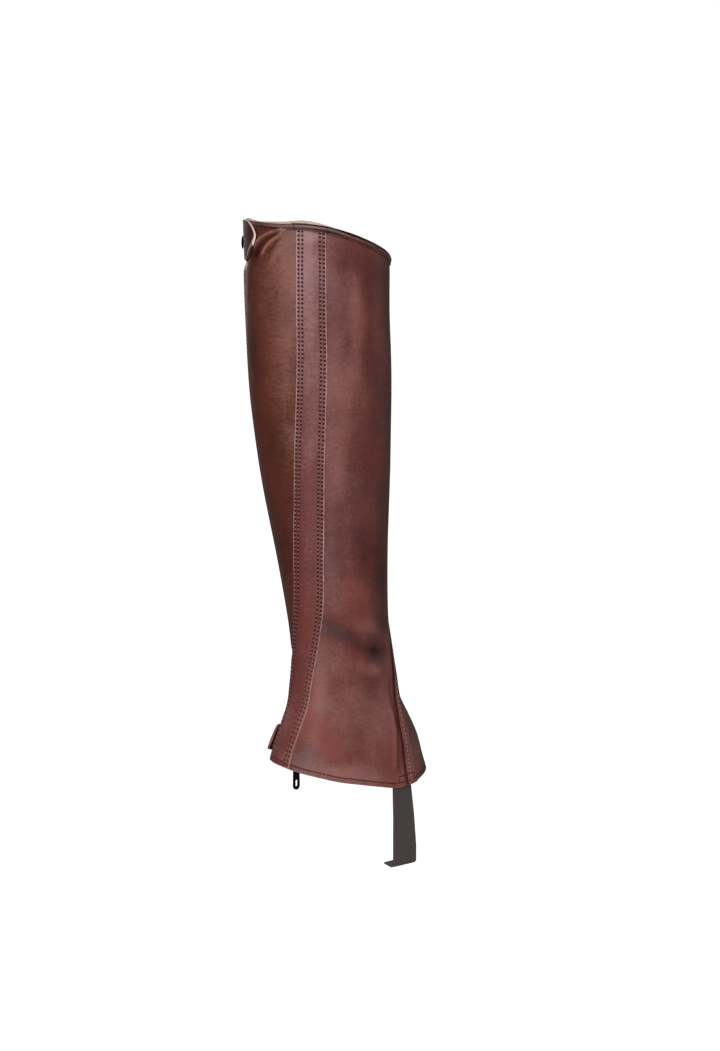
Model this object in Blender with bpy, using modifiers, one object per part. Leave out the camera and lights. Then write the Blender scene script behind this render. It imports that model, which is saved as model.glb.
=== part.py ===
"""Half chap for the right leg: a leather sleeve from below the knee to over the shoe, standing filled out.

A band covers the shin seam, a lapped seam runs down the inner back, and a zip closes the outer side
downward, with a press-stud tab over each end of it. An elastic strap for the arch of the foot hangs from
the inner side of the hem. Z is up, the calf's shin faces -Y, the inner side of the leg is +X.
"""
import math

import bmesh
import bpy
import numpy as np
from mathutils import Matrix, Vector

MM = 0.001

# Thicknesses and seams, in millimetres.
WALL = 1.8  # leather of the panels
GAP = 0.3  # clearance between two pieces that are sewn together
BAND_THICK = 1.2
BINDING_THICK = 0.9
BINDING_DEEP = 4.2
TAB_THICK = 1.6
LAP = 10.0  # width of the back panel over the inner panel
SUNK = 0.9  # the inner panel sinks this far under the lap
LAP_OVER = WALL + GAP - SUNK  # and the back panel stands this far above the plain wall
TAPE_THICK = 1.0
TAPE_WIDE = 17.0
ZIP_GAPE = 5.2  # from the middle of the zip to the panel edge
CHAIN_HALF = 2.75
CHAIN_THICK = 2.0
STRAP_WIDE = 25.0
STRAP_THICK = 1.5
TALL = 420.0

SECTIONS = (
    # height, across, along, half length, half width, degrees the toe turns outward
    (-430.0, 23.1, -24.0, 83.3, 41.5, 49.0),
    (-402.0, 22.9, -20.0, 73.3, 38.8, 49.0),
    (-382.0, 22.6, -17.0, 66.4, 38.0, 48.8),
    (-366.0, 22.1, -14.8, 58.4, 35.6, 48.5),
    (-350.0, 21.3, -13.0, 50.6, 32.8, 47.6),
    (-330.0, 20.4, -10.2, 47.5, 31.5, 45.0),
    (-310.0, 19.3, -8.0, 45.3, 31.6, 41.0),
    (-290.0, 17.6, -6.8, 45.4, 33.9, 34.6),
    (-270.0, 15.7, -6.0, 45.8, 37.1, 28.6),
    (-230.0, 11.7, -3.8, 46.6, 42.5, 22.0),
    (-190.0, 8.5, -2.0, 49.0, 47.6, 16.3),
    (-150.0, 5.6, -1.0, 52.0, 51.5, 11.6),
    (-110.0, 3.4, -0.4, 54.0, 54.4, 7.6),
    (-70.0, 1.7, 0.0, 55.0, 55.5, 4.8),
    (-35.0, 0.4, 0.0, 55.6, 55.7, 3.8),
    (0.0, 0.0, 0.0, 55.8, 56.0, 3.4),
    (50.0, 0.0, 0.0, 56.0, 56.4, 3.4),
)
RIM = (
    # degrees round from the shin toward the inner side, height
    (-165.0, 27.8),
    (-150.0, 27.3),
    (-135.0, 28.0),
    (-120.0, 29.3),
    (-100.0, 32.0),
    (-86.0, 34.0),
    (-56.0, 34.0),
    (-30.0, 33.9),
    (0.0, 33.6),
    (14.0, 31.3),
    (30.0, 26.8),
    (45.0, 21.3),
    (60.0, 15.5),
    (75.0, 9.7),
    (88.0, 4.4),
    (98.0, 1.4),
    (108.0, 0.0),
    (118.0, 2.2),
    (128.0, 5.4),
    (140.0, 9.6),
    (154.0, 15.0),
    (165.0, 19.8),
    (178.0, 24.5),
)
HEM = (
    # degrees round from the toe toward the inner side, height
    (-150.0, -411.0),
    (-120.0, -409.5),
    (-90.0, -406.6),
    (-60.0, -401.0),
    (-40.0, -394.8),
    (-20.0, -391.0),
    (0.0, -392.2),
    (15.0, -394.3),
    (30.0, -397.3),
    (45.0, -400.7),
    (60.0, -405.0),
    (75.0, -408.8),
    (90.0, -413.0),
    (105.0, -417.0),
    (120.0, -416.8),
    (135.0, -414.2),
    (165.0, -411.0),
)
# Lines down the leg: places from the hem (0) to the rim (1), with degrees round, or half the band's width.
ZIP_LINE = ((0.0, -76.2), (0.12, -81.5), (0.25, -88.0), (0.55, -96.0), (1.0, -102.0))
BACK_SEAM = (
    (0.0, 115.0),
    (0.06, 115.5),
    (0.09, 116.5),
    (0.12, 119.5),
    (0.15, 125.5),
    (0.2, 134.5),
    (0.25, 141.0),
    (0.32, 146.0),
    (0.5, 148.0),
    (1.0, 153.0),
)
PRESSED = (
    # where the top tab presses the wall in: degrees round from the shin, height where the dip starts
    (-130.0, 388.0),
    (-102.0, 379.0),
    (-70.0, 382.0),
    (-57.0, 397.0),
    (-48.0, 407.0),
    (-37.0, 414.0),
    (-24.0, 420.0),
)
PRESSED_DEEP = 3.2
BAND_HALF = ((0.0, 12.0), (0.1, 12.0), (0.2, 12.5), (0.3, 12.8), (0.5, 12.1), (0.75, 11.6), (1.0, 11.2))

ROWS = (*np.arange(0.0, 0.3, 0.025), *np.linspace(0.3, 0.9, 13), 0.925, 0.95, 0.975, 0.99, 1.0)
ROUND = np.radians(np.arange(-360.0, 360.5, 0.5))
FRONT = len(ROUND) // 2
LINES = {}


def read(table, column, at):
    """One column of a table read at the given first-column values, along a smooth curve."""
    knots = np.array([row[0] for row in table])
    values = np.array([row[column] for row in table])
    slopes = np.gradient(values, knots)
    at = np.clip(at, knots[0], knots[-1])
    i = np.clip(np.searchsorted(knots, at) - 1, 0, len(knots) - 2)
    step = knots[i + 1] - knots[i]
    t = (at - knots[i]) / step
    leaving = (2 * t**3 - 3 * t**2 + 1) * values[i] + (t**3 - 2 * t**2 + t) * step * slopes[i]
    arriving = (3 * t**2 - 2 * t**3) * values[i + 1] + (t**3 - t**2) * step * slopes[i + 1]
    return leaving + arriving


def read_round(table, angles):
    """A table of heights round the leg, read at angles in radians, the last row meeting the first."""
    turns = [(row[0] + turn, row[1]) for turn in (-360.0, 0.0, 360.0) for row in table]
    return read(turns, 1, (np.degrees(angles) + 180.0) % 360.0 - 180.0)


def ring(v):
    """Points round the inner face of the wall at one place from the hem (0) to the rim (1)."""
    low = read_round(HEM, ROUND)
    z = low + v * (read_round(RIM, ROUND) - low)
    turn = np.radians(read(SECTIONS, 5, z))
    ahead = read(SECTIONS, 3, z) * np.cos(ROUND)
    aside = read(SECTIONS, 4, z) * np.sin(ROUND)
    x = read(SECTIONS, 1, z) - ahead * np.sin(turn) + aside * np.cos(turn)
    y = read(SECTIONS, 2, z) - ahead * np.cos(turn) - aside * np.sin(turn)
    return np.stack([x, y, z], axis=1)


def girth(v):
    """One ring with the distance along it from the front and the outward normals."""
    if v not in LINES:
        here = ring(v)
        normal = np.cross(np.gradient(here, axis=0), ring(v + 0.003) - ring(v - 0.003))
        normal /= np.linalg.norm(normal, axis=1)[:, None]
        along = np.concatenate([[0.0], np.cumsum(np.linalg.norm(np.diff(here, axis=0), axis=1))])
        LINES[v] = (along - along[FRONT], here, normal)
    return LINES[v]


def at_angle(v, degrees):
    """Distance along the ring from the front to an angle round the leg."""
    return float(np.interp(math.radians(degrees), ROUND, girth(v)[0]))


def ease(value, low, high):
    """0 below low and 1 above high, easing between."""
    t = np.clip((np.asarray(value, float) - low) / (high - low), 0.0, 1.0)
    return t * t * (3.0 - 2.0 * t)


def pressed(v, across):
    """How far the wall dips under the top tab."""
    degrees = (np.degrees(np.interp(across, girth(v)[0], ROUND)) + 180.0) % 360.0 - 180.0
    start = np.interp(degrees, [row[0] for row in PRESSED], [row[1] for row in PRESSED])
    return -PRESSED_DEEP * ease(v * TALL - start, 0.0, 11.0) * ease(degrees, -134.0, -106.0)


def lay(v, across, out):
    """Points on one ring, each a distance across from the front and a distance out from the inner face."""
    along, here, normal = girth(v)
    across = np.atleast_1d(np.asarray(across, float))
    out = np.broadcast_to(np.asarray(out, float), across.shape) + pressed(v, across)
    point = np.stack([np.interp(across, along, here[:, k]) for k in range(3)], axis=1)
    facing = np.stack([np.interp(across, along, normal[:, k]) for k in range(3)], axis=1)
    facing /= np.linalg.norm(facing, axis=1)[:, None]
    return point + facing * out[:, None]


def zip_at(v):
    return at_angle(v, float(read(ZIP_LINE, 1, v)))


def zip_behind(v):
    """The middle of the zip reached the other way round, by the back of the leg."""
    return at_angle(v, float(read(ZIP_LINE, 1, v)) + 360.0)


def seam_at(v):
    return at_angle(v, float(read(BACK_SEAM, 1, v)))


def band_at(v):
    return float(read(BAND_HALF, 1, v))


def finish(obj, colour, roughness=0.5, metallic=0.0):
    material = bpy.data.materials.new(obj.name)
    material.use_nodes = True
    shader = material.node_tree.nodes["Principled BSDF"]
    shader.inputs["Base Color"].default_value = (*colour, 1.0)
    shader.inputs["Roughness"].default_value = roughness
    shader.inputs["Metallic"].default_value = metallic
    obj.data.materials.append(material)
    return obj


def add(name, mesh):
    obj = bpy.data.objects.new(name, mesh)
    bpy.context.scene.collection.objects.link(obj)
    return obj


def shell(name, grid, thick, side=1.0):
    """An open surface given as rows of points in millimetres, thickened to one side of it."""
    deep, wide = len(grid), len(grid[0])
    mesh = bpy.data.meshes.new(name)
    corners = [
        (r * wide + c, r * wide + c + 1, (r + 1) * wide + c + 1, (r + 1) * wide + c)
        for r in range(deep - 1)
        for c in range(wide - 1)
    ]
    mesh.from_pydata((np.concatenate(grid) * MM).tolist(), [], corners)
    obj = add(name, mesh)
    solidify = obj.modifiers.new("Solidify", "SOLIDIFY")
    solidify.thickness = thick * MM
    solidify.offset = side
    solidify.use_even_offset = True
    return obj


def from_bmesh(name, bm, frame=Matrix.Identity(4)):
    """A mesh object from a shape drawn in millimetres in its own frame."""
    bmesh.ops.recalc_face_normals(bm, faces=bm.faces)
    mesh = bpy.data.meshes.new(name)
    bm.to_mesh(mesh)
    bm.free()
    mesh.transform(frame @ Matrix.Scale(MM, 4))
    return add(name, mesh)


def box(bm, low, high):
    size = [b - a for a, b in zip(low, high)]
    middle = [(a + b) / 2 for a, b in zip(low, high)]
    made = bmesh.ops.create_cube(bm, size=1.0)["verts"]
    bmesh.ops.scale(bm, vec=size, verts=made)
    bmesh.ops.translate(bm, vec=middle, verts=made)
    return made


def arc(across, up, radius, start, end):
    """Points of an arc in steps of 15 degrees, from one angle to another."""
    turn = 15 if end > start else -15
    angles = [math.radians(d) for d in range(start, end + turn, turn)]
    return [(across + radius * math.cos(a), up + radius * math.sin(a)) for a in angles]


def prism(bm, outline, throw):
    """A flat outline drawn out into a solid."""
    face = bm.faces.new([bm.verts.new(point) for point in outline])
    raised = bmesh.ops.extrude_face_region(bm, geom=[face])["geom"]
    bmesh.ops.translate(bm, vec=throw, verts=[v for v in raised if isinstance(v, bmesh.types.BMVert)])


for old in list(bpy.data.objects):
    bpy.data.objects.remove(old)

LEATHER = (0.16, 0.05, 0.04)

# Outer panel: from the zip round the outer side to the seam under the shin band.


def outer_columns(v):
    middle, edge = zip_at(v), band_at(v)
    by_zip = [middle + ZIP_GAPE, middle + 9.2, middle + 13.0, middle + TAPE_WIDE]
    wall = np.linspace(middle + TAPE_WIDE, -edge, 12)[1:]
    return np.concatenate([by_zip, wall, [-edge * 2 / 3, -edge / 3, -GAP / 2]])


outer_panel = shell("outer_panel", [lay(v, outer_columns(v), 0.0) for v in ROWS], WALL)
finish(outer_panel, (0.15, 0.05, 0.035))

# Inner panel: from the shin round the inner side, ending under the lap of the back panel.


def inner_columns(v):
    edge, seam = band_at(v), seam_at(v)
    under_band = [GAP / 2, edge / 3, edge * 2 / 3, edge]
    under_lap = seam + LAP * np.array([0.34, 0.68, 1.0])
    return np.concatenate([under_band, np.linspace(edge, seam, 19)[1:], under_lap])


INNER_OUT = np.array([0.0] * 21 + [-SUNK] * 4)
inner_panel = shell("inner_panel", [lay(v, inner_columns(v), INNER_OUT) for v in ROWS], WALL)
finish(inner_panel, LEATHER)

# Back panel: lapped over the inner panel, then round the calf and heel to the zip.


def back_columns(v):
    seam, end = seam_at(v), zip_behind(v)
    lap = seam + np.array([0.0, 0.34 * LAP, 0.68 * LAP, LAP, LAP + 0.9, LAP + 5.0])
    by_zip = [end - TAPE_WIDE, end - 13.0, end - 9.2, end - ZIP_GAPE]
    return np.concatenate([lap, np.linspace(lap[-1], end - TAPE_WIDE, 11)[1:-1], by_zip])


BACK_OUT = np.array([LAP_OVER] * 5 + [0.0] * 14)
back_panel = shell("back_panel", [lay(v, back_columns(v), BACK_OUT) for v in ROWS], WALL)
finish(back_panel, LEATHER)

# Shin band: the strip over the front seam.
band_grid = [lay(v, np.linspace(-band_at(v), band_at(v), 7), WALL + GAP) for v in ROWS]
shin_band = shell("shin_band", band_grid, BAND_THICK)
finish(shin_band, (0.22, 0.09, 0.08))

# Top binding: folded over the rim from one side of the zip round to the other.


def binding_columns(v):
    edge, seam, end = band_at(v), seam_at(v), zip_behind(v)
    outer = [*outer_columns(v)[:14], -edge - 4.0]
    over_band = np.array([-edge - 0.5, -edge / 2, 0.0, edge / 2, edge + 0.5])
    inner = np.linspace(edge + 4.0, seam - 4.0, 18)
    over_lap = seam + np.array([-0.5, LAP / 3, LAP * 2 / 3, LAP + 1.8, LAP + 6.0])
    back = np.linspace(seam + LAP + 6.0, end - ZIP_GAPE, 12)[1:]
    return np.concatenate([outer, over_band, inner, over_lap, back])


over_band, over_lap = [BAND_THICK + GAP] * 5, [LAP_OVER] * 4
BINDING_LIFT = np.array([0.3] * 14 + [0.15] + over_band + [0.0] * 18 + over_lap + [0.0] * 12)
BINDING_SUNK = np.array([0.4] * 14 + [0.0] * 23 + [0.6] + [SUNK] * 4 + [0.0] * 12)
BINDING_IN = (-GAP - BINDING_SUNK)[::-1]
BINDING_OUT = (WALL + GAP + BINDING_LIFT)[::-1]
low_row, high_row = 1.0 - BINDING_DEEP / TALL, 1.0 + 0.8 / TALL
binding_grid = [
    lay(low_row, binding_columns(low_row)[::-1], BINDING_IN),
    lay(high_row, binding_columns(high_row)[::-1], BINDING_IN),
    lay(high_row, binding_columns(high_row)[::-1], BINDING_OUT),
    lay(low_row, binding_columns(low_row)[::-1], BINDING_OUT),
]
top_binding = shell("top_binding", binding_grid, BINDING_THICK)
finish(top_binding, (0.11, 0.035, 0.03))

# Zip: a woven tape behind each panel edge and the closed chain between them.
TAPE_TOP = 1.0 - 6.5 / TALL
TAPE_ROWS = (0.004, *[v for v in ROWS if 0.01 < v < TAPE_TOP], TAPE_TOP)
TAPE_COLUMNS = np.array([CHAIN_HALF + GAP, ZIP_GAPE, 9.2, 13.0, TAPE_WIDE])
front_tape = [lay(v, zip_at(v) + TAPE_COLUMNS, -GAP - TAPE_THICK) for v in TAPE_ROWS]
back_tape = [lay(v, zip_behind(v) - TAPE_COLUMNS[::-1], -GAP - TAPE_THICK) for v in TAPE_ROWS]
finish(shell("zip_tape_front", front_tape, TAPE_THICK), (0.02, 0.015, 0.015), 0.9)
finish(shell("zip_tape_back", back_tape, TAPE_THICK), (0.02, 0.015, 0.015), 0.9)

SLIDER_AT = 0.0124  # middle of the slider, as a part of the way from hem to rim
SLIDER_LONG = 9.0
SLIDER_WIDE = 8.6
PLATE_OUT = 0.5  # top plate of the slider, from the inner face of the wall
CHAIN_FROM = SLIDER_AT + (SLIDER_LONG / 2 + GAP) / TALL
CHAIN_ROWS = (CHAIN_FROM, *[v for v in ROWS if CHAIN_FROM + 0.01 < v < TAPE_TOP], TAPE_TOP - 0.004)
chain_grid = [lay(v, zip_at(v) + np.linspace(-CHAIN_HALF, CHAIN_HALF, 3), -1.8) for v in CHAIN_ROWS]
finish(shell("zip_chain", chain_grid, CHAIN_THICK), (0.03, 0.03, 0.03), 0.4)

# Slider: two plates joined by a neck, with a bow for the puller. X lies along the hem, Y inward, Z up.
HINGE_UP = 1.1
HINGE_OUT = PLATE_OUT + 2.1 + HINGE_UP
BOW_RADIUS = 1.7
seat = lay(SLIDER_AT, zip_at(SLIDER_AT), 0.0)[0]
facing = lay(SLIDER_AT, zip_at(SLIDER_AT), 1.0)[0] - seat
side = Vector((-facing[1], facing[0], 0.0)).normalized()
out = Vector(facing.tolist())
out = (out - side * out.dot(side)).normalized()
up = out.cross(side)
turned = Matrix((side, -out, up)).transposed().to_4x4()
SLIDER_FRAME = Matrix.Translation(Vector(seat.tolist()) * MM) @ turned
further = SLIDER_AT + 0.02
ahead = Vector((lay(further, zip_at(further), 0.0)[0] - seat).tolist())
ON_ZIP = SLIDER_FRAME @ Matrix.Rotation(math.atan2(ahead.dot(side), ahead.dot(up)), 4, "Y")
bm = bmesh.new()
for low, high in ((-PLATE_OUT - 2.1, -PLATE_OUT), (2.1, 3.4)):
    box(bm, (-SLIDER_WIDE / 2, low, -SLIDER_LONG / 2), (SLIDER_WIDE / 2, high, SLIDER_LONG / 2))
upright = [edge for edge in bm.edges if abs(edge.verts[0].co.y - edge.verts[1].co.y) > 1.0]
bmesh.ops.bevel(bm, geom=upright, offset=1.6, segments=3, profile=0.5, affect="EDGES", material=-1)
slider = from_bmesh("zip_slider", bm, ON_ZIP)
bm = bmesh.new()
box(bm, (-2.2, -PLATE_OUT - 0.6, -SLIDER_LONG / 2 + 0.8), (2.2, 2.7, SLIDER_LONG / 2 - 0.8))
neck = from_bmesh("slider_neck_cutter", bm, ON_ZIP)
bm = bmesh.new()
inner, outer = BOW_RADIUS - 0.4, BOW_RADIUS + 0.6
foot = -PLATE_OUT - 1.5
bow = [(foot, outer), (foot, inner), *arc(-HINGE_OUT, 0.0, inner, 90, 270), (foot, -inner), (foot, -outer)]
bow += arc(-HINGE_OUT, 0.0, outer, 270, 90)
prism(bm, [(-0.6, y, z) for y, z in bow], (1.2, 0.0, 0.0))
bow_body = from_bmesh("slider_bow_cutter", bm, ON_ZIP)
for tool in (neck, bow_body):
    union = slider.modifiers.new("Union", "BOOLEAN")
    union.operation = "UNION"
    union.solver = "EXACT"
    union.object = tool
    tool.hide_render = True
    tool.display_type = "WIRE"
finish(slider, (0.02, 0.02, 0.02), 0.35, 0.8)

# Puller: a flat plate hanging from the bow by the bar above its window, with a slot at the lower end.
PULLER_LONG = 27.9
PULLER_WIDE = 7.4
PULLER_THICK = 1.4
hinge = SLIDER_FRAME @ Vector((0.0, -HINGE_OUT * MM, 0.0))
level = Matrix((side, Vector((0, 0, 1)).cross(side), Vector((0, 0, 1)))).transposed().to_4x4()
bm = bmesh.new()
half = PULLER_WIDE / 2
shape = [(half, 0.0), (3.1, 0.7), (-3.1, 0.7), (-half, 0.0), *arc(0.0, half - PULLER_LONG, half, 180, 360)]
prism(bm, [(x, -PULLER_THICK / 2, z) for x, z in shape], (0.0, PULLER_THICK, 0.0))
puller = from_bmesh("zip_puller", bm, level)
puller.location = hinge
bm = bmesh.new()
box(bm, (-1.7, -2.0, -4.4), (1.7, 2.0, -0.7))
window = from_bmesh("puller_window_cutter", bm, level)
window.location = hinge
bm = bmesh.new()
slot = arc(0.0, 6.7 - PULLER_LONG, 1.5, 0, 180) + arc(0.0, 4.3 - PULLER_LONG, 1.5, 180, 360)
prism(bm, [(x, -2.0, z) for x, z in slot], (0.0, 4.0, 0.0))
slot_cutter = from_bmesh("puller_slot_cutter", bm, level)
slot_cutter.location = hinge
for tool in (window, slot_cutter):
    cut = puller.modifiers.new("Cut", "BOOLEAN")
    cut.operation = "DIFFERENCE"
    cut.solver = "EXACT"
    cut.object = tool
    tool.hide_render = True
    tool.display_type = "WIRE"
finish(puller, (0.02, 0.02, 0.02), 0.4, 0.3)

# Tabs: each sewn to the back panel, carried forward over the zip to a rounded end with a press stud.


def tab(name, low_back, low_tip, wide, back, tip, lift_low, lift_high, flare):
    """A strap with a round end: its lower edge's height above the hem at each end, how far each of its edges
    stands off the wall, and how much further its tip does."""
    radius = wide / 2
    grid = []
    for step in np.linspace(0.0, math.pi, 9):
        share = (1 - math.cos(step)) / 2
        start, turn = at_angle(0.0, back), tip - radius
        columns = np.linspace(start, turn, 22)
        if math.sin(step) > 0.01:
            round_end = np.linspace(columns[-4], turn + radius * math.sin(step), 4)
            columns = np.concatenate([columns[:-4], round_end])
        lift = lift_low + (lift_high - lift_low) * share
        row = []
        for column in columns:
            height = low_back + (low_tip - low_back) * (column - start) / (tip - start) + wide * share
            off = lift + flare * float(ease(column, tip - 22.0, tip - 2.0))
            row.append(lay(height / TALL, column, off)[0])
        grid.append(np.array(row))
    return finish(shell(name, grid, TAB_THICK), LEATHER)


SEAT = WALL + GAP
OVER_BINDING = SEAT + BINDING_THICK + GAP
tab("top_tab", TALL - 30.0, TALL - 30.0, 30.0, -126.0, -51.0, SEAT + 0.7, OVER_BINDING + 0.25, 0.0)
tab("bottom_tab", 12.0, 6.5, 19.5, -110.0, -14.5, SEAT + 1.6, SEAT + 0.5, 2.0)


def stud(name, height, across, lift):
    """The domed cap of a press stud, standing on its tab."""
    v = height / TALL
    base = lay(v, across, lift)[0]
    axis = Vector((lay(v, across, lift + 1.0)[0] - base).tolist()).normalized()
    bm = bmesh.new()
    profile = [(0.0, 0.0), (5.2, 0.0), (5.2, 0.5), (4.6, 1.0), (2.6, 1.4), (0.0, 1.5)]
    rim = [bm.verts.new((x, 0.0, z)) for x, z in profile]
    edges = [bm.edges.new(pair) for pair in zip(rim[:-1], rim[1:])]
    bmesh.ops.spin(
        bm, geom=rim + edges, cent=(0, 0, 0), axis=(0, 0, 1), angle=2 * math.pi, steps=24, use_merge=True
    )
    bmesh.ops.remove_doubles(bm, verts=bm.verts, dist=0.0001)
    turned = axis.to_track_quat("Z", "Y").to_matrix().to_4x4()
    cap = from_bmesh(name, bm, Matrix.Translation(Vector(base.tolist()) * MM) @ turned)
    return finish(cap, (0.03, 0.02, 0.02), 0.35, 0.6)


stud("top_stud", TALL - 17.0, -88.0, OVER_BINDING + TAB_THICK + 0.3)
stud("bottom_stud", 18.0, -44.0, SEAT + 1.05 + TAB_THICK + GAP + 0.2)

# Foot strap: elastic webbing sewn inside the inner wall, hanging straight, its free end turned inward.
STRAP_ANGLE = 111.9
STRAP_SEWN = 16.0
STRAP_DROP = 64.8
CURL_RADIUS = 3.6
FLAP_LONG = 8.0  # straight end beyond the curl
STRAP_TWIST = math.radians(11.5)
columns = np.linspace(-STRAP_WIDE / 2, STRAP_WIDE / 2, 5)
strap_grid = []
for height in (STRAP_SEWN, 8.0, 0.0):
    across = at_angle(height / TALL, STRAP_ANGLE) + columns
    sunk = SUNK * np.clip((across - seam_at(height / TALL) + 5.5) / 5.5, 0.0, 1.0)
    strap_grid.append(lay(height / TALL, across, -GAP - 0.2 - sunk))
hem_line = strap_grid[-1]
hem_middle = hem_line[2]
along = hem_line[-1] - hem_line[0]
along[2] = 0.0
along /= np.linalg.norm(along)
inward = np.array([-along[1], along[0], 0.0])
bend = hem_line - hem_middle - along * columns[:, None]
straight = STRAP_DROP - CURL_RADIUS
path = [(0.0, -drop) for drop in np.linspace(8.0, straight, 7)]
for degrees in range(17, 103, 17):
    angle = math.radians(degrees)
    path.append((CURL_RADIUS * (1 - math.cos(angle)), -straight - CURL_RADIUS * math.sin(angle)))
path.append((path[-1][0] + FLAP_LONG * math.sin(angle), path[-1][1] - FLAP_LONG * math.cos(angle)))
for toward, drop in path:
    fade = max(0.0, 1.0 + drop / 24.0)
    twist = STRAP_TWIST * min(1.0, -drop / 50.0)
    across = along * math.cos(twist) - inward * math.sin(twist)
    lean = inward * math.cos(twist) + along * math.sin(twist)
    centre = hem_middle + lean * toward - inward * 2.0 * min(1.0, -drop / 50.0) + np.array([0, 0, drop])
    strap_grid.append(centre + across * columns[:, None] + bend * fade)
strap = shell("foot_strap", strap_grid[::-1], STRAP_THICK, -1.0)
finish(strap, (0.012, 0.012, 0.013), 0.85)
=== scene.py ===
import math

import bmesh
import bpy
import numpy as np
from mathutils import Matrix, Vector


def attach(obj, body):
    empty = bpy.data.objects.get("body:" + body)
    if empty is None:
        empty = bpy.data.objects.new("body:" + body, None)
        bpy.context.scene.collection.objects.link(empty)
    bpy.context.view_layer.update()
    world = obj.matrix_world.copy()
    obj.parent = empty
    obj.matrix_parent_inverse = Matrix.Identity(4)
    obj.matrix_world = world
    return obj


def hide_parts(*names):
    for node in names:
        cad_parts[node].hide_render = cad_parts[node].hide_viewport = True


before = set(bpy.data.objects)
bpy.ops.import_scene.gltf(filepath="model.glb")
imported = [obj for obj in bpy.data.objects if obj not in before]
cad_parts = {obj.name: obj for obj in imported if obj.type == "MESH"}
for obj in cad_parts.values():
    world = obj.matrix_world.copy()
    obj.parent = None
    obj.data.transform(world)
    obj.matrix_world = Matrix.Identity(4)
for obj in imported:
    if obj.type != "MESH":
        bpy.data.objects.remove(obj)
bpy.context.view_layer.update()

MM = 0.001

# The studio: a pale sweep well below and behind the half chap, large soft lights, and a long lens that looks
# at the shin from a little above.
LOOKED_AT = Vector((0.0344, 0.0, -0.2108))
STAND_OFF = 3.0
LENS_UP = math.radians(9.0)


def in_scene(name, data):
    """A new object in the scene for a camera, a light or a mesh."""
    made = bpy.data.objects.new(name, data)
    bpy.context.scene.collection.objects.link(made)
    return made


camera = in_scene("camera", bpy.data.cameras.new("camera"))
camera.data.sensor_width = 36.0
camera.data.lens = 128.45
camera.location = LOOKED_AT + STAND_OFF * Vector((0.0, -math.cos(LENS_UP), math.sin(LENS_UP)))
camera.rotation_euler = (math.radians(90.0) - LENS_UP, 0.0, 0.0)
bpy.context.scene.camera = camera
bpy.context.scene.view_settings.view_transform = "Standard"
for name, place, wide, high, watts in (
    ("front_box", (-0.3, -2.4, 0.45), 1.2, 1.5, 44.0),
    ("upper_box", (0.1, -1.1, 1.8), 1.1, 0.8, 7.0),
    ("left_back_box", (-1.0, 2.2, 0.6), 0.8, 1.6, 14.0),
    ("right_fill", (2.3, 0.8, 0.4), 0.8, 1.4, 4.0),
):
    box = in_scene(name, bpy.data.lights.new(name, "AREA"))
    box.data.shape = "RECTANGLE"
    box.data.size = wide
    box.data.size_y = high
    box.data.energy = watts
    box.location = place
    box.rotation_euler = (LOOKED_AT - Vector(place)).to_track_quat("-Z", "Y").to_euler()


def feed(node, **inputs):
    """Give a node its inputs by name or number, each a value or another node's output."""
    for name, value in inputs.items():
        socket = node.inputs[int(name[1:])] if name[0] == "_" else node.inputs[name.replace("_", " ")]
        if isinstance(value, bpy.types.NodeSocket):
            node.id_data.links.new(value, socket)
        else:
            socket.default_value = value


def put(tree, kind, settings=None, **inputs):
    """One node in a tree: its own settings, then its inputs."""
    made = tree.nodes.new("ShaderNode" + kind)
    for name, value in (settings or {}).items():
        setattr(made, name, value)
    feed(made, **inputs)
    return made


def spread(value, low, high, to_low=0.0, to_high=1.0):
    """A value stretched from one range to another and held within it."""
    return put(value.id_data, "MapRange", Value=value, _1=low, _2=high, _3=to_low, _4=to_high).outputs[0]


def noise(place, scale, detail, rough=0.5):
    """Soft random clouds from 0 to 1."""
    made = put(place.id_data, "TexNoise", Vector=place, Scale=scale, Detail=detail, Roughness=rough)
    return made.outputs[0]


def own_place(tree):
    """The point on the object itself, which a texture follows."""
    return put(tree, "TexCoord").outputs["Object"]


def finish_named(name):
    """A new material with its Principled shader, and the tree they stand in."""
    material = bpy.data.materials.new(name)
    material.use_nodes = True
    return material, material.node_tree, material.node_tree.nodes["Principled BSDF"]


def seen_as(tree, dim):
    """White where the camera looks, and dim where light is reflected or scattered."""
    return spread(put(tree, "LightPath").outputs["Is Camera Ray"], 0.0, 1.0, dim, 1.0)


WHITE = (1.0, 1.0, 1.0, 1.0)
world = bpy.data.worlds.new("studio")
world.use_nodes = True
tree = world.node_tree
feed(tree.nodes["Background"], Color=WHITE, Strength=seen_as(tree, 0.1))
bpy.context.scene.world = world

pale, tree, shader = finish_named("pale_sweep")
tint = spread(noise(own_place(tree), 1.2, 2.0), 0.0, 1.0, 0.3, 0.34)
shade = put(tree, "CombineColor", Red=tint, Green=tint, Blue=tint).outputs[0]
feed(
    shader, Base_Color=shade, Roughness=0.95, Specular_IOR_Level=0.1, Emission_Color=WHITE,
    Emission_Strength=seen_as(tree, 0.05),
)
FLOOR_DEPTH = 0.95  # metres below the rim, as all the sweep's sizes are in metres
FLOOR_LONG, FLOOR_FRONT, SWEEP_BEND, SWEEP_LONG, SWEEP_HALF_WIDE = 3.2, -1.4, 1.6, 7.0, 4.5


def mesh_of(name, bm, *materials):
    """A mesh with its materials, made from a bmesh that is then freed."""
    mesh = bpy.data.meshes.new(name)
    bm.to_mesh(mesh)
    bm.free()
    for material in materials:
        mesh.materials.append(material)
    return mesh


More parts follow.
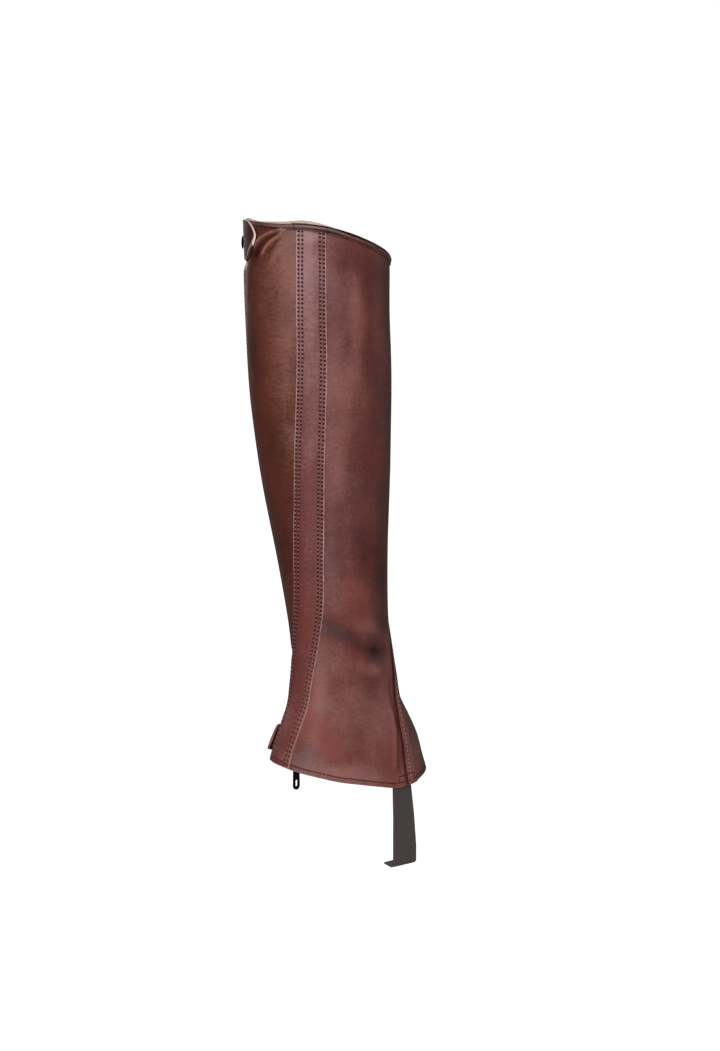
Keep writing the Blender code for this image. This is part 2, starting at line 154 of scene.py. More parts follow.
bm = bmesh.new()
bmesh.ops.create_grid(bm, x_segments=2, y_segments=40, size=1.0)
for vert in bm.verts:
    run = (vert.co.y + 1.0) / 2.0 * SWEEP_LONG
    turn = min(max((run - FLOOR_LONG) / SWEEP_BEND, 0.0), math.pi / 2)
    past = max(run - FLOOR_LONG - SWEEP_BEND * math.pi / 2, 0.0)
    vert.co.x *= SWEEP_HALF_WIDE
    vert.co.y = FLOOR_FRONT + min(run, FLOOR_LONG) + SWEEP_BEND * math.sin(turn)
    vert.co.z = -FLOOR_DEPTH + SWEEP_BEND * (1.0 - math.cos(turn)) + past
for face in bm.faces:
    face.smooth = True
sweep = in_scene("sweep", mesh_of("sweep", bm, pale))

# Outer panel: calf leather from the zip round the outer side to the shin, grain side out, burnished by hand
# so that it darkens in clouds and toward its edges. Its front edge lies under the band. The leg that all the
# pieces are laid on is given by its cross-sections, its rim and hem, and the lines down it.
WALL = 1.8  # thickness of the panels, in millimetres as all that follows
TALL = 420.0  # from the hem to the rim, as the tables of heights above the hem take it
SECTIONS = (
    # height, across, along, half length, half width, degrees the toe turns outward
    (-430, 23.1, -24, 83.3, 41.5, 49),
    (-402, 22.9, -20, 73.3, 38.8, 49),
    (-382, 22.6, -17, 66.4, 38, 48.8),
    (-366, 22.1, -14.8, 58.4, 35.6, 48.5),
    (-350, 21.3, -13, 50.6, 32.8, 47.6),
    (-330, 20.4, -10.2, 47.5, 31.5, 45),
    (-310, 19.3, -8, 45.3, 31.6, 41),
    (-290, 17.6, -6.8, 45.4, 33.9, 34.6),
    (-270, 15.7, -6, 45.8, 37.1, 28.6),
    (-230, 11.7, -3.8, 46.6, 42.5, 22),
    (-190, 8.5, -2, 49, 47.6, 16.3),
    (-150, 5.6, -1, 52, 51.5, 11.6),
    (-110, 3.4, -0.4, 54, 54.4, 7.6),
    (-70, 1.7, 0, 55, 55.5, 4.8),
    (-35, 0.4, 0, 55.6, 55.7, 3.8),
    (0, 0, 0, 55.8, 56, 3.4),
    (50, 0, 0, 56, 56.4, 3.4),
)
RIM = (
    # degrees round from the shin toward the inner side, height
    (-165, 27.8), (-150, 27.3), (-135, 28), (-120, 29.3), (-100, 32), (-86, 34), (-56, 34), (-30, 33.9),
    (0, 33.6), (14, 31.3), (30, 26.8), (45, 21.3), (60, 15.5), (75, 9.7), (88, 4.4), (98, 1.4),
    (108, 0), (118, 2.2), (128, 5.4), (140, 9.6), (154, 15), (165, 19.8), (178, 24.5),
)
HEM = (
    # degrees round from the toe toward the inner side, height
    (-150, -411), (-120, -409.5), (-90, -406.6), (-60, -401), (-40, -394.8), (-20, -391), (0, -392.2),
    (15, -394.3), (30, -397.3), (45, -400.7), (60, -405), (75, -408.8), (90, -413), (105, -417),
    (120, -416.8), (135, -414.2), (165, -411),
)
# Places from the hem (0) to the rim (1), then degrees round, or millimetres for the half width of the band.
ZIP_LINE = ((0, -76.2), (0.12, -81.5), (0.25, -88), (0.55, -96), (1, -102))
BACK_SEAM = (
    (0, 115), (0.06, 115.5), (0.09, 116.5), (0.12, 119.5), (0.15, 125.5), (0.2, 134.5), (0.25, 141),
    (0.32, 146), (0.5, 148), (1, 153),
)
PRESSED = (
    # where the top tab presses the wall in: degrees round from the shin, height where the dip starts
    (-130, 388), (-102, 379), (-70, 382), (-57, 397), (-48, 407), (-37, 414), (-24, 420),
)
BAND_HALF = ((0, 12), (0.1, 12), (0.2, 12.5), (0.3, 12.8), (0.5, 12.1), (0.75, 11.6), (1, 11.2))
FOLDS = (
    # out from the wall, how much lighter it is painted (painted highlight on a ridge, painted shade in a
    # hollow), half width, then its line: up from the hem, across from the shin
    (2, 2, 0.95, ((416.5, -23), (414, -32.4), (410, -41.2), (406, -48))),
    (0.85, 1.1, 1.2, ((404.8, -49.2), (400, -53.6), (394.5, -58.6), (388, -61.6))),
    (0.45, 0.5, 2.2, ((385.5, -62.6), (374, -64.6), (364, -65.4))),
    (0.3, 0.3, 3, ((360, -65.8), (344, -66.6), (330, -68))),
    (-0.8, -1.3, 1.8, ((413, -27), (408, -38.5), (402, -45.5), (396, -50))),
    (-0.3, -0.3, 3.5, ((394, -51), (382, -57), (366, -59))),
    (1, 1.5, 1, ((416, -20.6), (411, -27), (407, -33.3), (403, -37.7), (397, -42))),
    (-0.5, -0.7, 1.6, ((413, -20.5), (406, -29), (399, -35))),
    (0.35, 0.4, 1.6, ((404, -19), (399, -27), (390, -34))),
    (-0.45, -0.3, 5, ((114, 15), (110, 25), (109, 40), (106, 53), (107, 67), (102, 84))),
    (-0.4, -0.2, 9, ((108, 64), (107, 76))),
    (0.7, 0.5, 6, ((122, 46), (124, 66), (118, 86))),
    (0.7, 0.5, 5, ((92, 52), (92, 70))),
    (-0.8, -0.6, 4, ((84, -18), (82, -30), (78, -44))),
    (-0.6, -0.4, 6, ((96, 120), (98, 145), (94, 170))),
    (-0.5, -0.3, 6, ((112, 126), (116, 150), (112, 176))),
    (0.8, 0.65, 3, ((58, 88), (40, 94), (18, 103))),
    (-0.7, -0.55, 3, ((78, 88), (58, 93), (36, 100), (12, 111))),
)
ROUND = np.radians(np.arange(-360.0, 360.5, 0.5))
FRONT = len(ROUND) // 2
RINGS = {}


def read(table, column, at):
    """One column of a table read at the given first-column values, along a smooth curve."""
    knots = np.array([row[0] for row in table])
    values = np.array([row[column] for row in table])
    slopes = np.gradient(values, knots)
    at = np.clip(at, knots[0], knots[-1])
    i = np.clip(np.searchsorted(knots, at) - 1, 0, len(knots) - 2)
    step = knots[i + 1] - knots[i]
    t = (at - knots[i]) / step
    leaving = (2 * t**3 - 3 * t**2 + 1) * values[i] + (t**3 - 2 * t**2 + t) * step * slopes[i]
    arriving = (3 * t**2 - 2 * t**3) * values[i + 1] + (t**3 - t**2) * step * slopes[i + 1]
    return leaving + arriving


def read_round(table, angles):
    """A table of heights round the leg, read at angles in radians, the last row meeting the first."""
    turns = [(row[0] + turn, row[1]) for turn in (-360.0, 0.0, 360.0) for row in table]
    return read(turns, 1, (np.degrees(angles) + 180.0) % 360.0 - 180.0)


HEM_HEIGHTS = read_round(HEM, ROUND)
RIM_HEIGHTS = read_round(RIM, ROUND)


def ring(v):
    """Points in millimetres round the leg at one place from the hem (0) to the rim (1)."""
    z = HEM_HEIGHTS + v * (RIM_HEIGHTS - HEM_HEIGHTS)
    turn = np.radians(read(SECTIONS, 5, z))
    ahead = read(SECTIONS, 3, z) * np.cos(ROUND)
    aside = read(SECTIONS, 4, z) * np.sin(ROUND)
    x = read(SECTIONS, 1, z) - ahead * np.sin(turn) + aside * np.cos(turn)
    y = read(SECTIONS, 2, z) - ahead * np.cos(turn) - aside * np.sin(turn)
    return np.stack([x, y, z], axis=1)


def girth(v):
    """One ring with the distance along it from the shin and the outward normals."""
    key = round(float(v), 6)
    if key not in RINGS:
        here = ring(v)
        normal = np.cross(np.gradient(here, axis=0), ring(v + 0.003) - ring(v - 0.003))
        normal /= np.linalg.norm(normal, axis=1)[:, None]
        along = np.concatenate([[0.0], np.cumsum(np.linalg.norm(np.diff(here, axis=0), axis=1))])
        RINGS[key] = (along - along[FRONT], here, normal)
    return RINGS[key]


def at_angle(v, degrees):
    """Distance across from the shin to an angle round the leg."""
    return float(np.interp(math.radians(degrees), ROUND, girth(v)[0]))


def zip_at(v):
    return at_angle(v, float(read(ZIP_LINE, 1, v)))


def zip_behind(v):
    """The middle of the zip reached the other way round, by the back of the leg."""
    return at_angle(v, float(read(ZIP_LINE, 1, v)) + 360.0)


def seam_at(v):
    return at_angle(v, float(read(BACK_SEAM, 1, v)))


def band_at(v):
    return float(read(BAND_HALF, 1, v))


def smooth(value, low, high):
    """0 below low and 1 above high, easing between."""
    t = np.clip((np.asarray(value, float) - low) / (high - low), 0.0, 1.0)
    return t * t * (3.0 - 2.0 * t)


def pressed(v, across):
    """How far the wall dips under the top tab."""
    degrees = (np.degrees(np.interp(across, girth(v)[0], ROUND)) + 180.0) % 360.0 - 180.0
    start = np.interp(degrees, [row[0] for row in PRESSED], [row[1] for row in PRESSED])
    return -3.2 * smooth(v * TALL - start, 0.0, 11.0) * smooth(degrees, -134.0, -106.0)


def fold_at(up, across):
    """How far the leather stands off the leg's plain shape, and how much lighter it is painted for that:
    rubbed paler on the ridges, with painted highlights on them and painted shade in the hollows.
    """
    lift = 0.22 * np.sin(across / 13.0 + up / 31.0) * np.sin(up / 19.0 - across / 47.0 + 1.0)
    lighter = 0.8 * lift
    for most, rubbed, half, line in FOLDS:
        nearest = np.full(across.shape, 1e9)
        for (up_a, across_a), (up_b, across_b) in zip(line[:-1], line[1:]):
            run_up, run_across = up_b - up_a, across_b - across_a
            share = (up - up_a) * run_up + (across - across_a) * run_across
            share = np.clip(share / (run_up**2 + run_across**2), 0.0, 1.0)
            nearest = np.minimum(
                nearest, np.hypot(up - up_a - share * run_up, across - across_a - share * run_across)
            )
        share = np.exp(-((nearest / half) ** 2))
        lift = lift + most * share
        lighter = lighter + rubbed * share
    return lift, lighter


def on_ring(v, across):
    """Points of one ring at distances across from the shin, and the directions outward there."""
    along, here, normal = girth(v)
    return [np.stack([np.interp(across, along, by[:, k]) for k in range(3)], axis=1) for by in (here, normal)]


def lay(v, across, out, folded=1.0):
    """Points on the leg, each a distance across from the shin and a distance out from the lining."""
    across = np.atleast_1d(np.asarray(across, float))
    out = np.broadcast_to(np.asarray(out, float), across.shape) + pressed(v, across)
    out = out + folded * fold_at(v * TALL, across)[0]
    point, facing = on_ring(v, across)
    facing /= np.linalg.norm(facing, axis=1)[:, None]
    return point + facing * out[:, None]


def spot(v, across, out, folded=1.0):
    """One such point, as a vector."""
    return Vector(lay(v, across, out, folded)[0].tolist())


# Patches of burnish, and among them painted light: painted highlights at the top of the band and beside it,
# and a painted sheen streak on the outer side.
BURNISH_AND_PAINTED_LIGHT = (
    # up from the hem, across from the shin, reach up, reach across, how much lighter, how much redder
    (400, 17, 90, 8, 0.15, -0.3),
    (356, 38, 42, 9, 1, 0.35),
    (402, 50, 22, 42, -0.5, 0.1),
    (255, 22, 75, 12, 0.5, 0),
    (300, 88, 140, 14, -0.4, 0.35),
    (290, 63, 95, 16, -0.5, 0.45),
    (176, 50, 32, 17, -0.5, 0.1),
    (185, 74, 26, 12, -0.35, 0.2),
    (140, 45, 20, 18, 0.15, 0.5),
    (162, 24, 14, 14, -0.2, -0.2),
    (110, 25, 6, 14, -0.4, -0.8),
    (106, 66, 8, 9, -0.3, 0),
    (128, 76, 14, 12, -0.55, 0.1),
    (96, 89, 10, 9, 1, 1),
    (78, 86, 14, 10, 0.6, 0.4),
    (90, 50, 12, 26, 0.25, 0.2),
    (68, 23, 12, 8, -0.25, 0.5),
    (52, 12.5, 28, 4.5, 0.75, 0.6),
    (36, 24, 13, 9, 0.3, 1),
    (24, 40, 8, 9, 0.8, 0.6),
    (60, 19, 26, 6, -0.15, 0.7),
    (160, -8, 110, 5, -0.2, 0.4),
    (382, 60, 30, 12, -0.1, 0.5),
    (8, 122, 18, 24, 0.7, 0.6),
    (413, -18, 6, 8, 0.5, -0.4),
    (384, -58, 18, 8, 0.3, 0.2),
    (384, -13, 26, 3.5, 0.5, -0.2),
    (280, -54, 36, 8, -0.5, 0.1),
    (182, 68, 16, 12, -0.3, 0.1),
    (408, 6, 8, 6, -0.4, 0.4),
    (30, 58, 34, 36, 0.35, 0.25),
    (12, 19, 12, 7, -0.45, -0.1),
    (5, 62, 9, 40, 1, -0.3),
    (60, 98, 60, 20, 0.1, 0.8),
    (235, -46, 60, 18, -0.7, 0.6),
    (186, -27, 30, 10, -0.35, 0.2),
    (378, -19, 75, 11, 0.75, -0.15),
    (288, -24, 50, 12, 0.4, 0),
    (330, -60, 110, 10, -0.3, 0.2),
    (355, -74, 28, 8, 0.6, -0.5),
    (396, -74, 14, 8, -0.9, 0.2),
    (390, -20, 14, 9, 0.4, 0),
    (372, -6, 28, 6, 0.45, -0.1),
    (350, -42, 60, 12, 0.1, 0.5),
    (414, -44, 6, 9, -0.25, 0.9),
    (120, -38, 80, 32, -0.7, 0.4),
    (410, 0, 70, 10, 0.45, -0.2),
    (412, -4, 5, 17, 0.8, -0.5),
    (200, 7, 200, 5, -0.2, 0.45),
    (110, 0, 70, 12, 0.3, 0.1),
)


def keep_cut(mesh, flat):
    """Each point's place in the flat cut, kept as the UV map."""
    corners = np.empty(len(mesh.loops), int)
    mesh.loops.foreach_get("vertex_index", corners)
    mesh.uv_layers.new(name="cut").data.foreach_set("uv", (flat[corners] * MM).ravel())


def soften(piece, name, width, segments=2, limit=50.0):
    """Round a piece's edges where its faces meet at more than a limit in degrees."""
    bevel = piece.modifiers.new(name, "BEVEL")
    bevel.width = width * MM
    bevel.segments = segments
    bevel.limit_method = "ANGLE"
    bevel.angle_limit = math.radians(limit)
    bevel.harden_normals = True


def skin(name, place, wide, thick, edge, materials, **values):
    """A sheet through a grid of points, so many to a row, with values at each for its finish to read by name.
    Its thickness goes inward, with its second material inside and its last on the cut edges."""
    bm = bmesh.new()
    bmesh.ops.create_grid(bm, x_segments=wide - 1, y_segments=len(place) // wide - 1, size=1.0)
    mesh = mesh_of(name, bm, *materials)
    mesh.vertices.foreach_set("co", (place * MM).ravel())
    for value, numbers in values.items():
        mesh.attributes.new(value, "FLOAT", "POINT").data.foreach_set("value", numbers.astype(np.float32))
    mesh.polygons.foreach_set("use_smooth", np.ones(len(mesh.polygons), bool))
    piece = in_scene(name, mesh)
    solidify = piece.modifiers.new("thickness", "SOLIDIFY")
    solidify.thickness = thick * MM
    solidify.offset = -1.0
    solidify.use_even_offset = True
    solidify.material_offset_rim = len(materials) - 1
    solidify.material_offset = min(1, len(materials) - 1)
    soften(piece, "cut_edges", edge)
    return piece


def cut_piece(name, rows, thick, materials, wear=(0.6, 0.6)):
    """A piece laid on the leg as rows of (place up, distances across, heights of its face, how much lighter
    it is dyed, with painted light and shade in that too). It keeps how burnished it is, with painted
    highlights and painted shade, and how rubbed it is at each point. Wear gives how far in its sides and its
    ends are rubbed."""
    deep, wide = len(rows), len(rows[0][1])
    place = np.concatenate([lay(*row[:3]) for row in rows])
    up = np.concatenate([np.full(wide, row[0] * TALL) for row in rows])
    across = np.concatenate([np.asarray(row[1], float) for row in rows])
    tone = np.concatenate([np.broadcast_to(row[3] if len(row) > 3 else 0.0, (wide,)) for row in rows])
    # Folds painted lighter on their ridges and darker in their hollows, as painted highlight and painted
    # shade as well as rub.
    folded = fold_at(up, across)[1]
    tone = tone + folded
    warmth = np.zeros(len(up))
    for high, aside, reach_up, reach_across, lighter, redder in BURNISH_AND_PAINTED_LIGHT:
        share = np.exp(-(((up - high) / reach_up) ** 2) - ((across - aside) / reach_across) ** 2)
        tone = tone + lighter * share
        warmth = warmth + redder * share
    grid = across.reshape(deep, wide)
    to_side = np.minimum(grid - grid[:, :1], grid[:, -1:] - grid)
    to_end = np.minimum(up - up.min(), up.max() - up).reshape(deep, wide)
    by_side = np.exp(-((to_side / wear[0]) ** 2)).ravel() * (0.4 + 0.6 * smooth(up, 60.0, 170.0))
    rubbed = np.maximum(by_side, np.exp(-((to_end / wear[1]) ** 2)).ravel())
    # The highest ridges also take the rubbed colour, as a painted highlight.
    rubbed = np.maximum(rubbed, np.clip(folded - 0.9, 0.0, 1.0))
    worn = {"tone": tone, "warmth": warmth, "rubbed": rubbed}
    piece = skin(name, place, wide, thick, min(0.35, thick / 4), materials, **worn)
    keep_cut(piece.data, np.stack([across, up], axis=1))
    return piece


def sockets(group, side, **kinds):
    """A node group's inputs or outputs, by name and kind."""
    for name, kind in kinds.items():
        made = group.interface.new_socket(name, in_out=side, socket_type="NodeSocket" + kind)
        if kind == "Float":
            made.default_value = 0.5


# Burnish: dye rubbed on by hand, which leaves clouds of dark and light and of red and grey over the hide. The
# tone it reads also holds painted highlights and painted shade. Roughness follows the same smears.
burnish = bpy.data.node_groups.new("burnish", "ShaderNodeTree")
DYES = ("Dark", "Middle", "Light", "Red", "Grey")
sockets(burnish, "INPUT", Place="Vector", **dict.fromkeys(DYES, "Color"), Clouds="Float", Creases="Float")
sockets(burnish, "OUTPUT", Color="Color", Roughness="Float")
asked = burnish.nodes.new("NodeGroupInput").outputs
tone = put(burnish, "Attribute", {"attribute_name": "tone"}).outputs["Fac"]
warmth = put(burnish, "Attribute", {"attribute_name": "warmth"}).outputs["Fac"]


def squashed(place, share):
    """A place whose height is multiplied, so a texture on it lies in streaks up or across the leg."""
    return put(place.id_data, "Mapping", Vector=place, Scale=(1.0, 1.0, share)).outputs[0]


def mixed(share, low, high):
    """A colour mixed from two."""
    return put(share.id_data, "Mix", {"data_type": "RGBA"}, _0=share, _6=low, _7=high).outputs[2]


def sum_of(*terms):
    total = terms[0]
    for term in terms[1:]:
        total = put(total.id_data, "Math", _0=total, _1=term).outputs[0]
    return total


def times(a, b):
    return put(a.id_data, "Math", {"operation": "MULTIPLY"}, _0=a, _1=b).outputs[0]


place = asked["Place"]
clouds = noise(place, 17.0, 4.0, 0.6)
smears = noise(squashed(place, 0.35), 70.0, 3.0, 0.55)
specks = noise(place, 420.0, 3.0, 0.6)
creases = noise(squashed(place, 3.5), 150.0, 3.0, 0.6)
cloudy = times(spread(clouds, 0.25, 0.75, -1.0, 1.0), asked["Clouds"])
smeary = spread(smears, 0.2, 0.8, -0.22, 0.22)
specky = spread(specks, 0.2, 0.8, -0.22, 0.22)
creasy = times(spread(creases, 0.25, 0.75, -1.0, 1.0), asked["Creases"])
depth = sum_of(tone, cloudy, smeary, specky, creasy)
colour = mixed(spread(depth, -1.0, 0.0), asked["Dark"], asked["Middle"])
colour = mixed(spread(depth, 0.0, 1.0), colour, asked["Light"])
blushed = sum_of(warmth, spread(noise(place, 31.0, 2.0), 0.25, 0.75, -0.3, 0.3))
colour = mixed(spread(blushed, 0.0, 1.0, 0.0, 0.75), colour, asked["Red"])
colour = mixed(spread(blushed, 0.0, -1.0, 0.0, 0.6), colour, asked["Grey"])
rough = spread(sum_of(smeary, times(cloudy, 0.4)), -0.4, 0.4, 0.5, 0.4)
feed(burnish.nodes.new("NodeGroupOutput"), Color=colour, Roughness=rough)

# Grain: the fine pebble and pores of smooth calf, with the slight unevenness of the hide under it. It gives
# only a height, and where the pores are.
grain = bpy.data.node_groups.new("grain", "ShaderNodeTree")
sockets(grain, "INPUT", Place="Vector", Pebble="Float", Uneven="Float")
sockets(grain, "OUTPUT", Height="Float", Pores="Float")
asked = grain.nodes.new("NodeGroupInput").outputs
place = asked["Place"]
pebble = put(grain, "TexVoronoi", Vector=place, Scale=1150.0, Randomness=1.0).outputs["Distance"]
dimples = times(noise(place, 2600.0, 2.0), 0.5)
wrinkles = times(noise(squashed(place, 6.0), 90.0, 3.0), 0.35)
pebbled = times(sum_of(pebble, dimples), asked["Pebble"])
rolling = times(sum_of(noise(place, 55.0, 3.0), wrinkles), asked["Uneven"])
feed(
    grain.nodes.new("NodeGroupOutput"), Height=sum_of(pebbled, rolling),
    Pores=spread(pebble, 0.0, 0.5, 1.0, 0.0),
)


def relief(strength, distance, height):
    """A surface that follows a height, up to a distance in metres."""
    return put(height.id_data, "Bump", Strength=strength, Distance=distance, Height=height).outputs[0]


PORE = (0.02, 0.006, 0.005, 1.0)


def rgb(red, green, blue):
    """A paint-chart colour, 0 to 255, as the shader wants it."""
    shares = [c / 255.0 for c in (red, green, blue)]
    return (*[c / 12.92 if c < 0.04045 else ((c + 0.055) / 1.055) ** 2.4 for c in shares], 1.0)


def burnished_leather(name, *charts, clouds=0.45, creases=0.12, shine=(0.3, 0.05)):
    """Smooth waxed leather: burnish for its colour, grain for its surface, and paler where an edge is rubbed.
    Its colours are the five dyes, 0 to 255, then the rubbed one."""
    material, tree, shader = finish_named(name)
    place = own_place(tree)
    dyes = {dye: rgb(*chart) for dye, chart in zip(DYES, charts)}
    kind = {"node_tree": burnish}
    dyed = put(tree, "Group", kind, Place=place, Clouds=clouds, Creases=creases, **dyes).outputs
    surface = put(tree, "Group", {"node_tree": grain}, Place=place, Pebble=0.35, Uneven=6.0).outputs
    pored = mixed(times(surface["Pores"], 0.25), dyed["Color"], PORE)
    rubbed = put(tree, "Attribute", {"attribute_name": "rubbed"}).outputs["Fac"]
    share = times(rubbed, spread(noise(place, 260.0, 2.0), 0.3, 0.6, 0.25, 0.9))
    feed(
        shader, Base_Color=mixed(share, pored, rgb(*charts[-1])), Roughness=dyed["Roughness"],
        Normal=relief(0.6, 0.00012, surface["Height"]), Specular_IOR_Level=shine[0],
        Coat_Weight=shine[1], Coat_Roughness=0.3,
    )
    return material


outer_finish = burnished_leather(
    "outer_leather_finish", (38, 16, 13), (100, 54, 43), (156, 104, 92), (124, 56, 36), (112, 88, 82),
    (176, 132, 118), creases=0.26,
)


def turned_low(place, colour, low):
    """A colour that turns to another lower down, where low gives it as (colour, the height in metres where it
    starts, the height where it is reached)."""
    if not low:
        return colour
    height = put(place.id_data, "SeparateXYZ", Vector=place).outputs["Z"]
    return mixed(spread(height, low[1], low[2]), colour, low[0])


def bare_leather(name, colour, deep, rough=0.85, low=None):
    """The side or the edge of the hide that was never dyed through: short matted fibres."""
    material, tree, shader = finish_named(name)
    place = own_place(tree)
    fibres = noise(place, 900.0, 5.0, 0.7)
    patches = spread(noise(place, 35.0, 3.0), 0.3, 0.7, 0.0, 0.5)
    fibrous = mixed(sum_of(spread(fibres, 0.3, 0.7, 0.0, 0.5), patches), colour, deep)
    feed(
        shader, Base_Color=turned_low(place, fibrous, low), Normal=relief(0.5, 0.0002, fibres),
        Roughness=rough, Specular_IOR_Level=0.25,
    )
    return material


flesh_side = bare_leather("flesh_side", rgb(226, 178, 150), rgb(196, 144, 116))
cut_edge = bare_leather("cut_edge", rgb(172, 118, 108), rgb(128, 76, 68), 0.6)
# The top tab's cut edge: near white as a painted highlight, turning dark lower down as painted shade.
tab_edge_painted_light = bare_leather(
    "tab_edge_painted_light", rgb(255, 240, 234), rgb(244, 212, 204), 0.5, (rgb(52, 26, 24), 0.0175, 0.0155)
)

ZIP_GAPE = 5.2
BY_HEM = [0.0, 0.5, 1.0, 1.6, 2.2, 2.8, 3.2, 3.6, 4.0, 4.4, 5.0, 6.0, 7.5]
PANEL_ROWS = np.concatenate([BY_HEM, np.arange(9.5, 372.0, 2.2), np.linspace(372.0, TALL, 57)]) / TALL


def grooves(across, lines, deep=0.22, half=0.55):
    """The channels that rows of stitches pull into the leather."""
    return -deep * sum(np.exp(-(((np.asarray(across) - line) / half) ** 2)) for line in lines)


BESIDE_ZIP = np.arange(0.0, 9.0, 0.55)
ZIP_ROWS = (2.2, 6.6)  # the rows of stitches beside the zip, from the panel's edge
HEM_ROW = 3.6  # the row of stitches round the hem, above it
SHIN_GAPE = 0.15  # from the shin's line to each panel
GAP = 0.3  # between one piece and the next that lies on it


def hem_groove(v):
    return float(grooves(v * TALL, [HEM_ROW]))


def edge_dye_and_binding_shade(v):
    """Edge dye below the hem's stitches, and painted shade on the wall under the binding's edge."""
    return -0.2 * float(1.0 - smooth(v * TALL, 2.6, 4.2)) - 0.6 * float(smooth(v * TALL, 413.6, 416.0))


def outer_row(v):
    """One row of the outer panel, with close columns by the zip and where the folds run."""
    start = zip_at(v) + ZIP_GAPE
    by_zip = start + BESIDE_ZIP
    folded = np.linspace(-70.0, -18.0, 76) * min(1.0, -start / 92.0)
    plain = np.linspace(by_zip[-1], folded[0], 16)[1:-1]
    across = np.concatenate([by_zip, plain, folded, np.linspace(folded[-1], -SHIN_GAPE, 12)[1:]])
    return v, across, WALL + grooves(across - start, ZIP_ROWS) + hem_groove(v), edge_dye_and_binding_shade(v)


outer_leather = cut_piece(
    "outer_leather", [outer_row(v) for v in PANEL_ROWS], WALL, [outer_finish, flesh_side, cut_edge],
    (0.5, 0.45),
)
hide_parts("outer_panel")
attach(outer_leather, "garment")

# Inner panel: the same leather in a cooler brown, from the shin round the inner side, ending under the back
# panel.
inner_finish = burnished_leather(
    "inner_leather_finish", (42, 20, 20), (116, 66, 62), (168, 112, 106), (136, 62, 52), (110, 84, 86),
    (184, 138, 130),
)
LAP = 10.0
SUNK = 0.9  # how far the inner panel is set back in the lap
SINKING = 5.5  # the run before the seam over which it sinks


def sunk_at(v, across):
    return SUNK * np.clip((across - seam_at(v) + SINKING) / SINKING, 0.0, 1.0)


def inner_face(v, across):
    return WALL - sunk_at(v, across) + hem_groove(v)


def inner_row(v):
    seam = seam_at(v)
    across = np.concatenate([np.linspace(SHIN_GAPE, seam - 6.0, 74), seam + np.arange(-5.0, LAP + 0.1, 1.0)])
    # Painted shade on the inner panel along the lap, where it sinks under the back panel's edge.
    return v, across, inner_face(v, across), edge_dye_and_binding_shade(v) - 0.8 * smooth(across - seam, -4.5, -0.5)


inner_leather = cut_piece(
    "inner_leather", [inner_row(v) for v in PANEL_ROWS], WALL, [inner_finish, flesh_side, cut_edge],
    (0.5, 0.45),
)
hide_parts("inner_panel")
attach(inner_leather, "garment")

# Back panel: it laps 10 mm over the inner panel with a thinned edge, its dark colour partly edge dye and
# partly painted shade, is stitched through both, and goes round the calf and heel to the zip.
LAP_ROW = 3.8  # its stitches, from its edge
LAP_OVER = WALL + GAP - SUNK
BACK_THICK = 1.3
# The back panel's cut edge: dark edge dye, made darker as painted shade.
dyed_and_shaded_edge = bare_leather("dyed_and_shaded_edge", rgb(70, 32, 30), rgb(38, 16, 16), 0.6)


def back_face(v, across):
    q = across - seam_at(v)
    skived = -0.5 * np.exp(-((q / 1.8) ** 2))
    lapped = WALL + LAP_OVER * (1.0 - smooth(q, LAP + 0.6, LAP + 6.0))
    return lapped + skived + grooves(q, [LAP_ROW], 0.3)


def back_row(v):
    start, end = seam_at(v), zip_behind(v) - ZIP_GAPE
    by_seam = start + np.concatenate([np.arange(0.0, 8.0, 0.55), np.arange(8.0, 17.0, 0.9)])
    by_zip = end - BESIDE_ZIP[::-1]
    across = np.concatenate([by_seam, np.linspace(by_seam[-1], by_zip[0], 56)[1:-1], by_zip])
    return v, across, back_face(v, across) + grooves(end - across, ZIP_ROWS) + hem_groove(v), edge_dye_and_binding_shade(v)


back_leather = cut_piece(
    "back_leather", [back_row(v) for v in PANEL_ROWS], BACK_THICK, [inner_finish, flesh_side, dyed_and_shaded_edge],
    (0.35, 0.45),
)
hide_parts("back_panel")
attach(back_leather, "garment")

# Shin band: a strip over the shin seam from rim to hem, its edges cut raw and each held by two rows of thick
# thread. It is a little paler and pinker than the panels.
band_finish = burnished_leather(
    "band_leather_finish", (60, 28, 28), (124, 70, 66), (180, 134, 134), (128, 60, 54), (128, 94, 96),
    (226, 182, 176), clouds=0.25,
)
band_edge = bare_leather("band_edge", rgb(214, 172, 164), rgb(176, 130, 122), 0.6)
BAND_THICK = 1.2
BAND_FACE = WALL + GAP + BAND_THICK
BAND_ROWS = (1.9, 4.65)  # the rows of stitches, from its edge


def band_face(v, across):
    edge = band_at(v) - np.abs(across)
    pulled = -0.35 * np.exp(-((edge / 1.1) ** 2))
    return BAND_FACE + pulled + grooves(edge, BAND_ROWS, 0.25)


BY_EDGE = [0, 0.3, 0.6, 1, 1.3, 1.6, 1.9, 2.2, 2.5, 2.9, 3.4, 3.8, 4.1, 4.4, 4.65, 4.9, 5.2, 5.6, 6.2]


def band_row(v):
    left = np.array(BY_EDGE) - band_at(v)
    across = np.concatenate([left, np.linspace(left[-1], -left[-1], 10)[1:-1], -left[::-1]])
    return v, across, band_face(v, across) + hem_groove(v), edge_dye_and_binding_shade(v)


band_leather = cut_piece(
    "band_leather", [band_row(v) for v in PANEL_ROWS], BAND_THICK, [band_finish, cut_edge, band_edge],
    (0.75, 0.45),
)
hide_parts("shin_band")
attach(band_leather, "garment")

# Stitching: waxed thread through holes punched 3.3 mm apart, each stitch sunk in its channel. One stitch and
# its hole, a dark disc of painted shade, are drawn, then copied from hole to hole along every row.
PITCH = 3.3


def wave(place, direction, scale, distortion=0.0):
    """Bands of light and dark through a texture."""
    bands = {"bands_direction": direction}
    return put(place.id_data, "TexWave", bands, Vector=place, Scale=scale, Distortion=distortion).outputs[1]


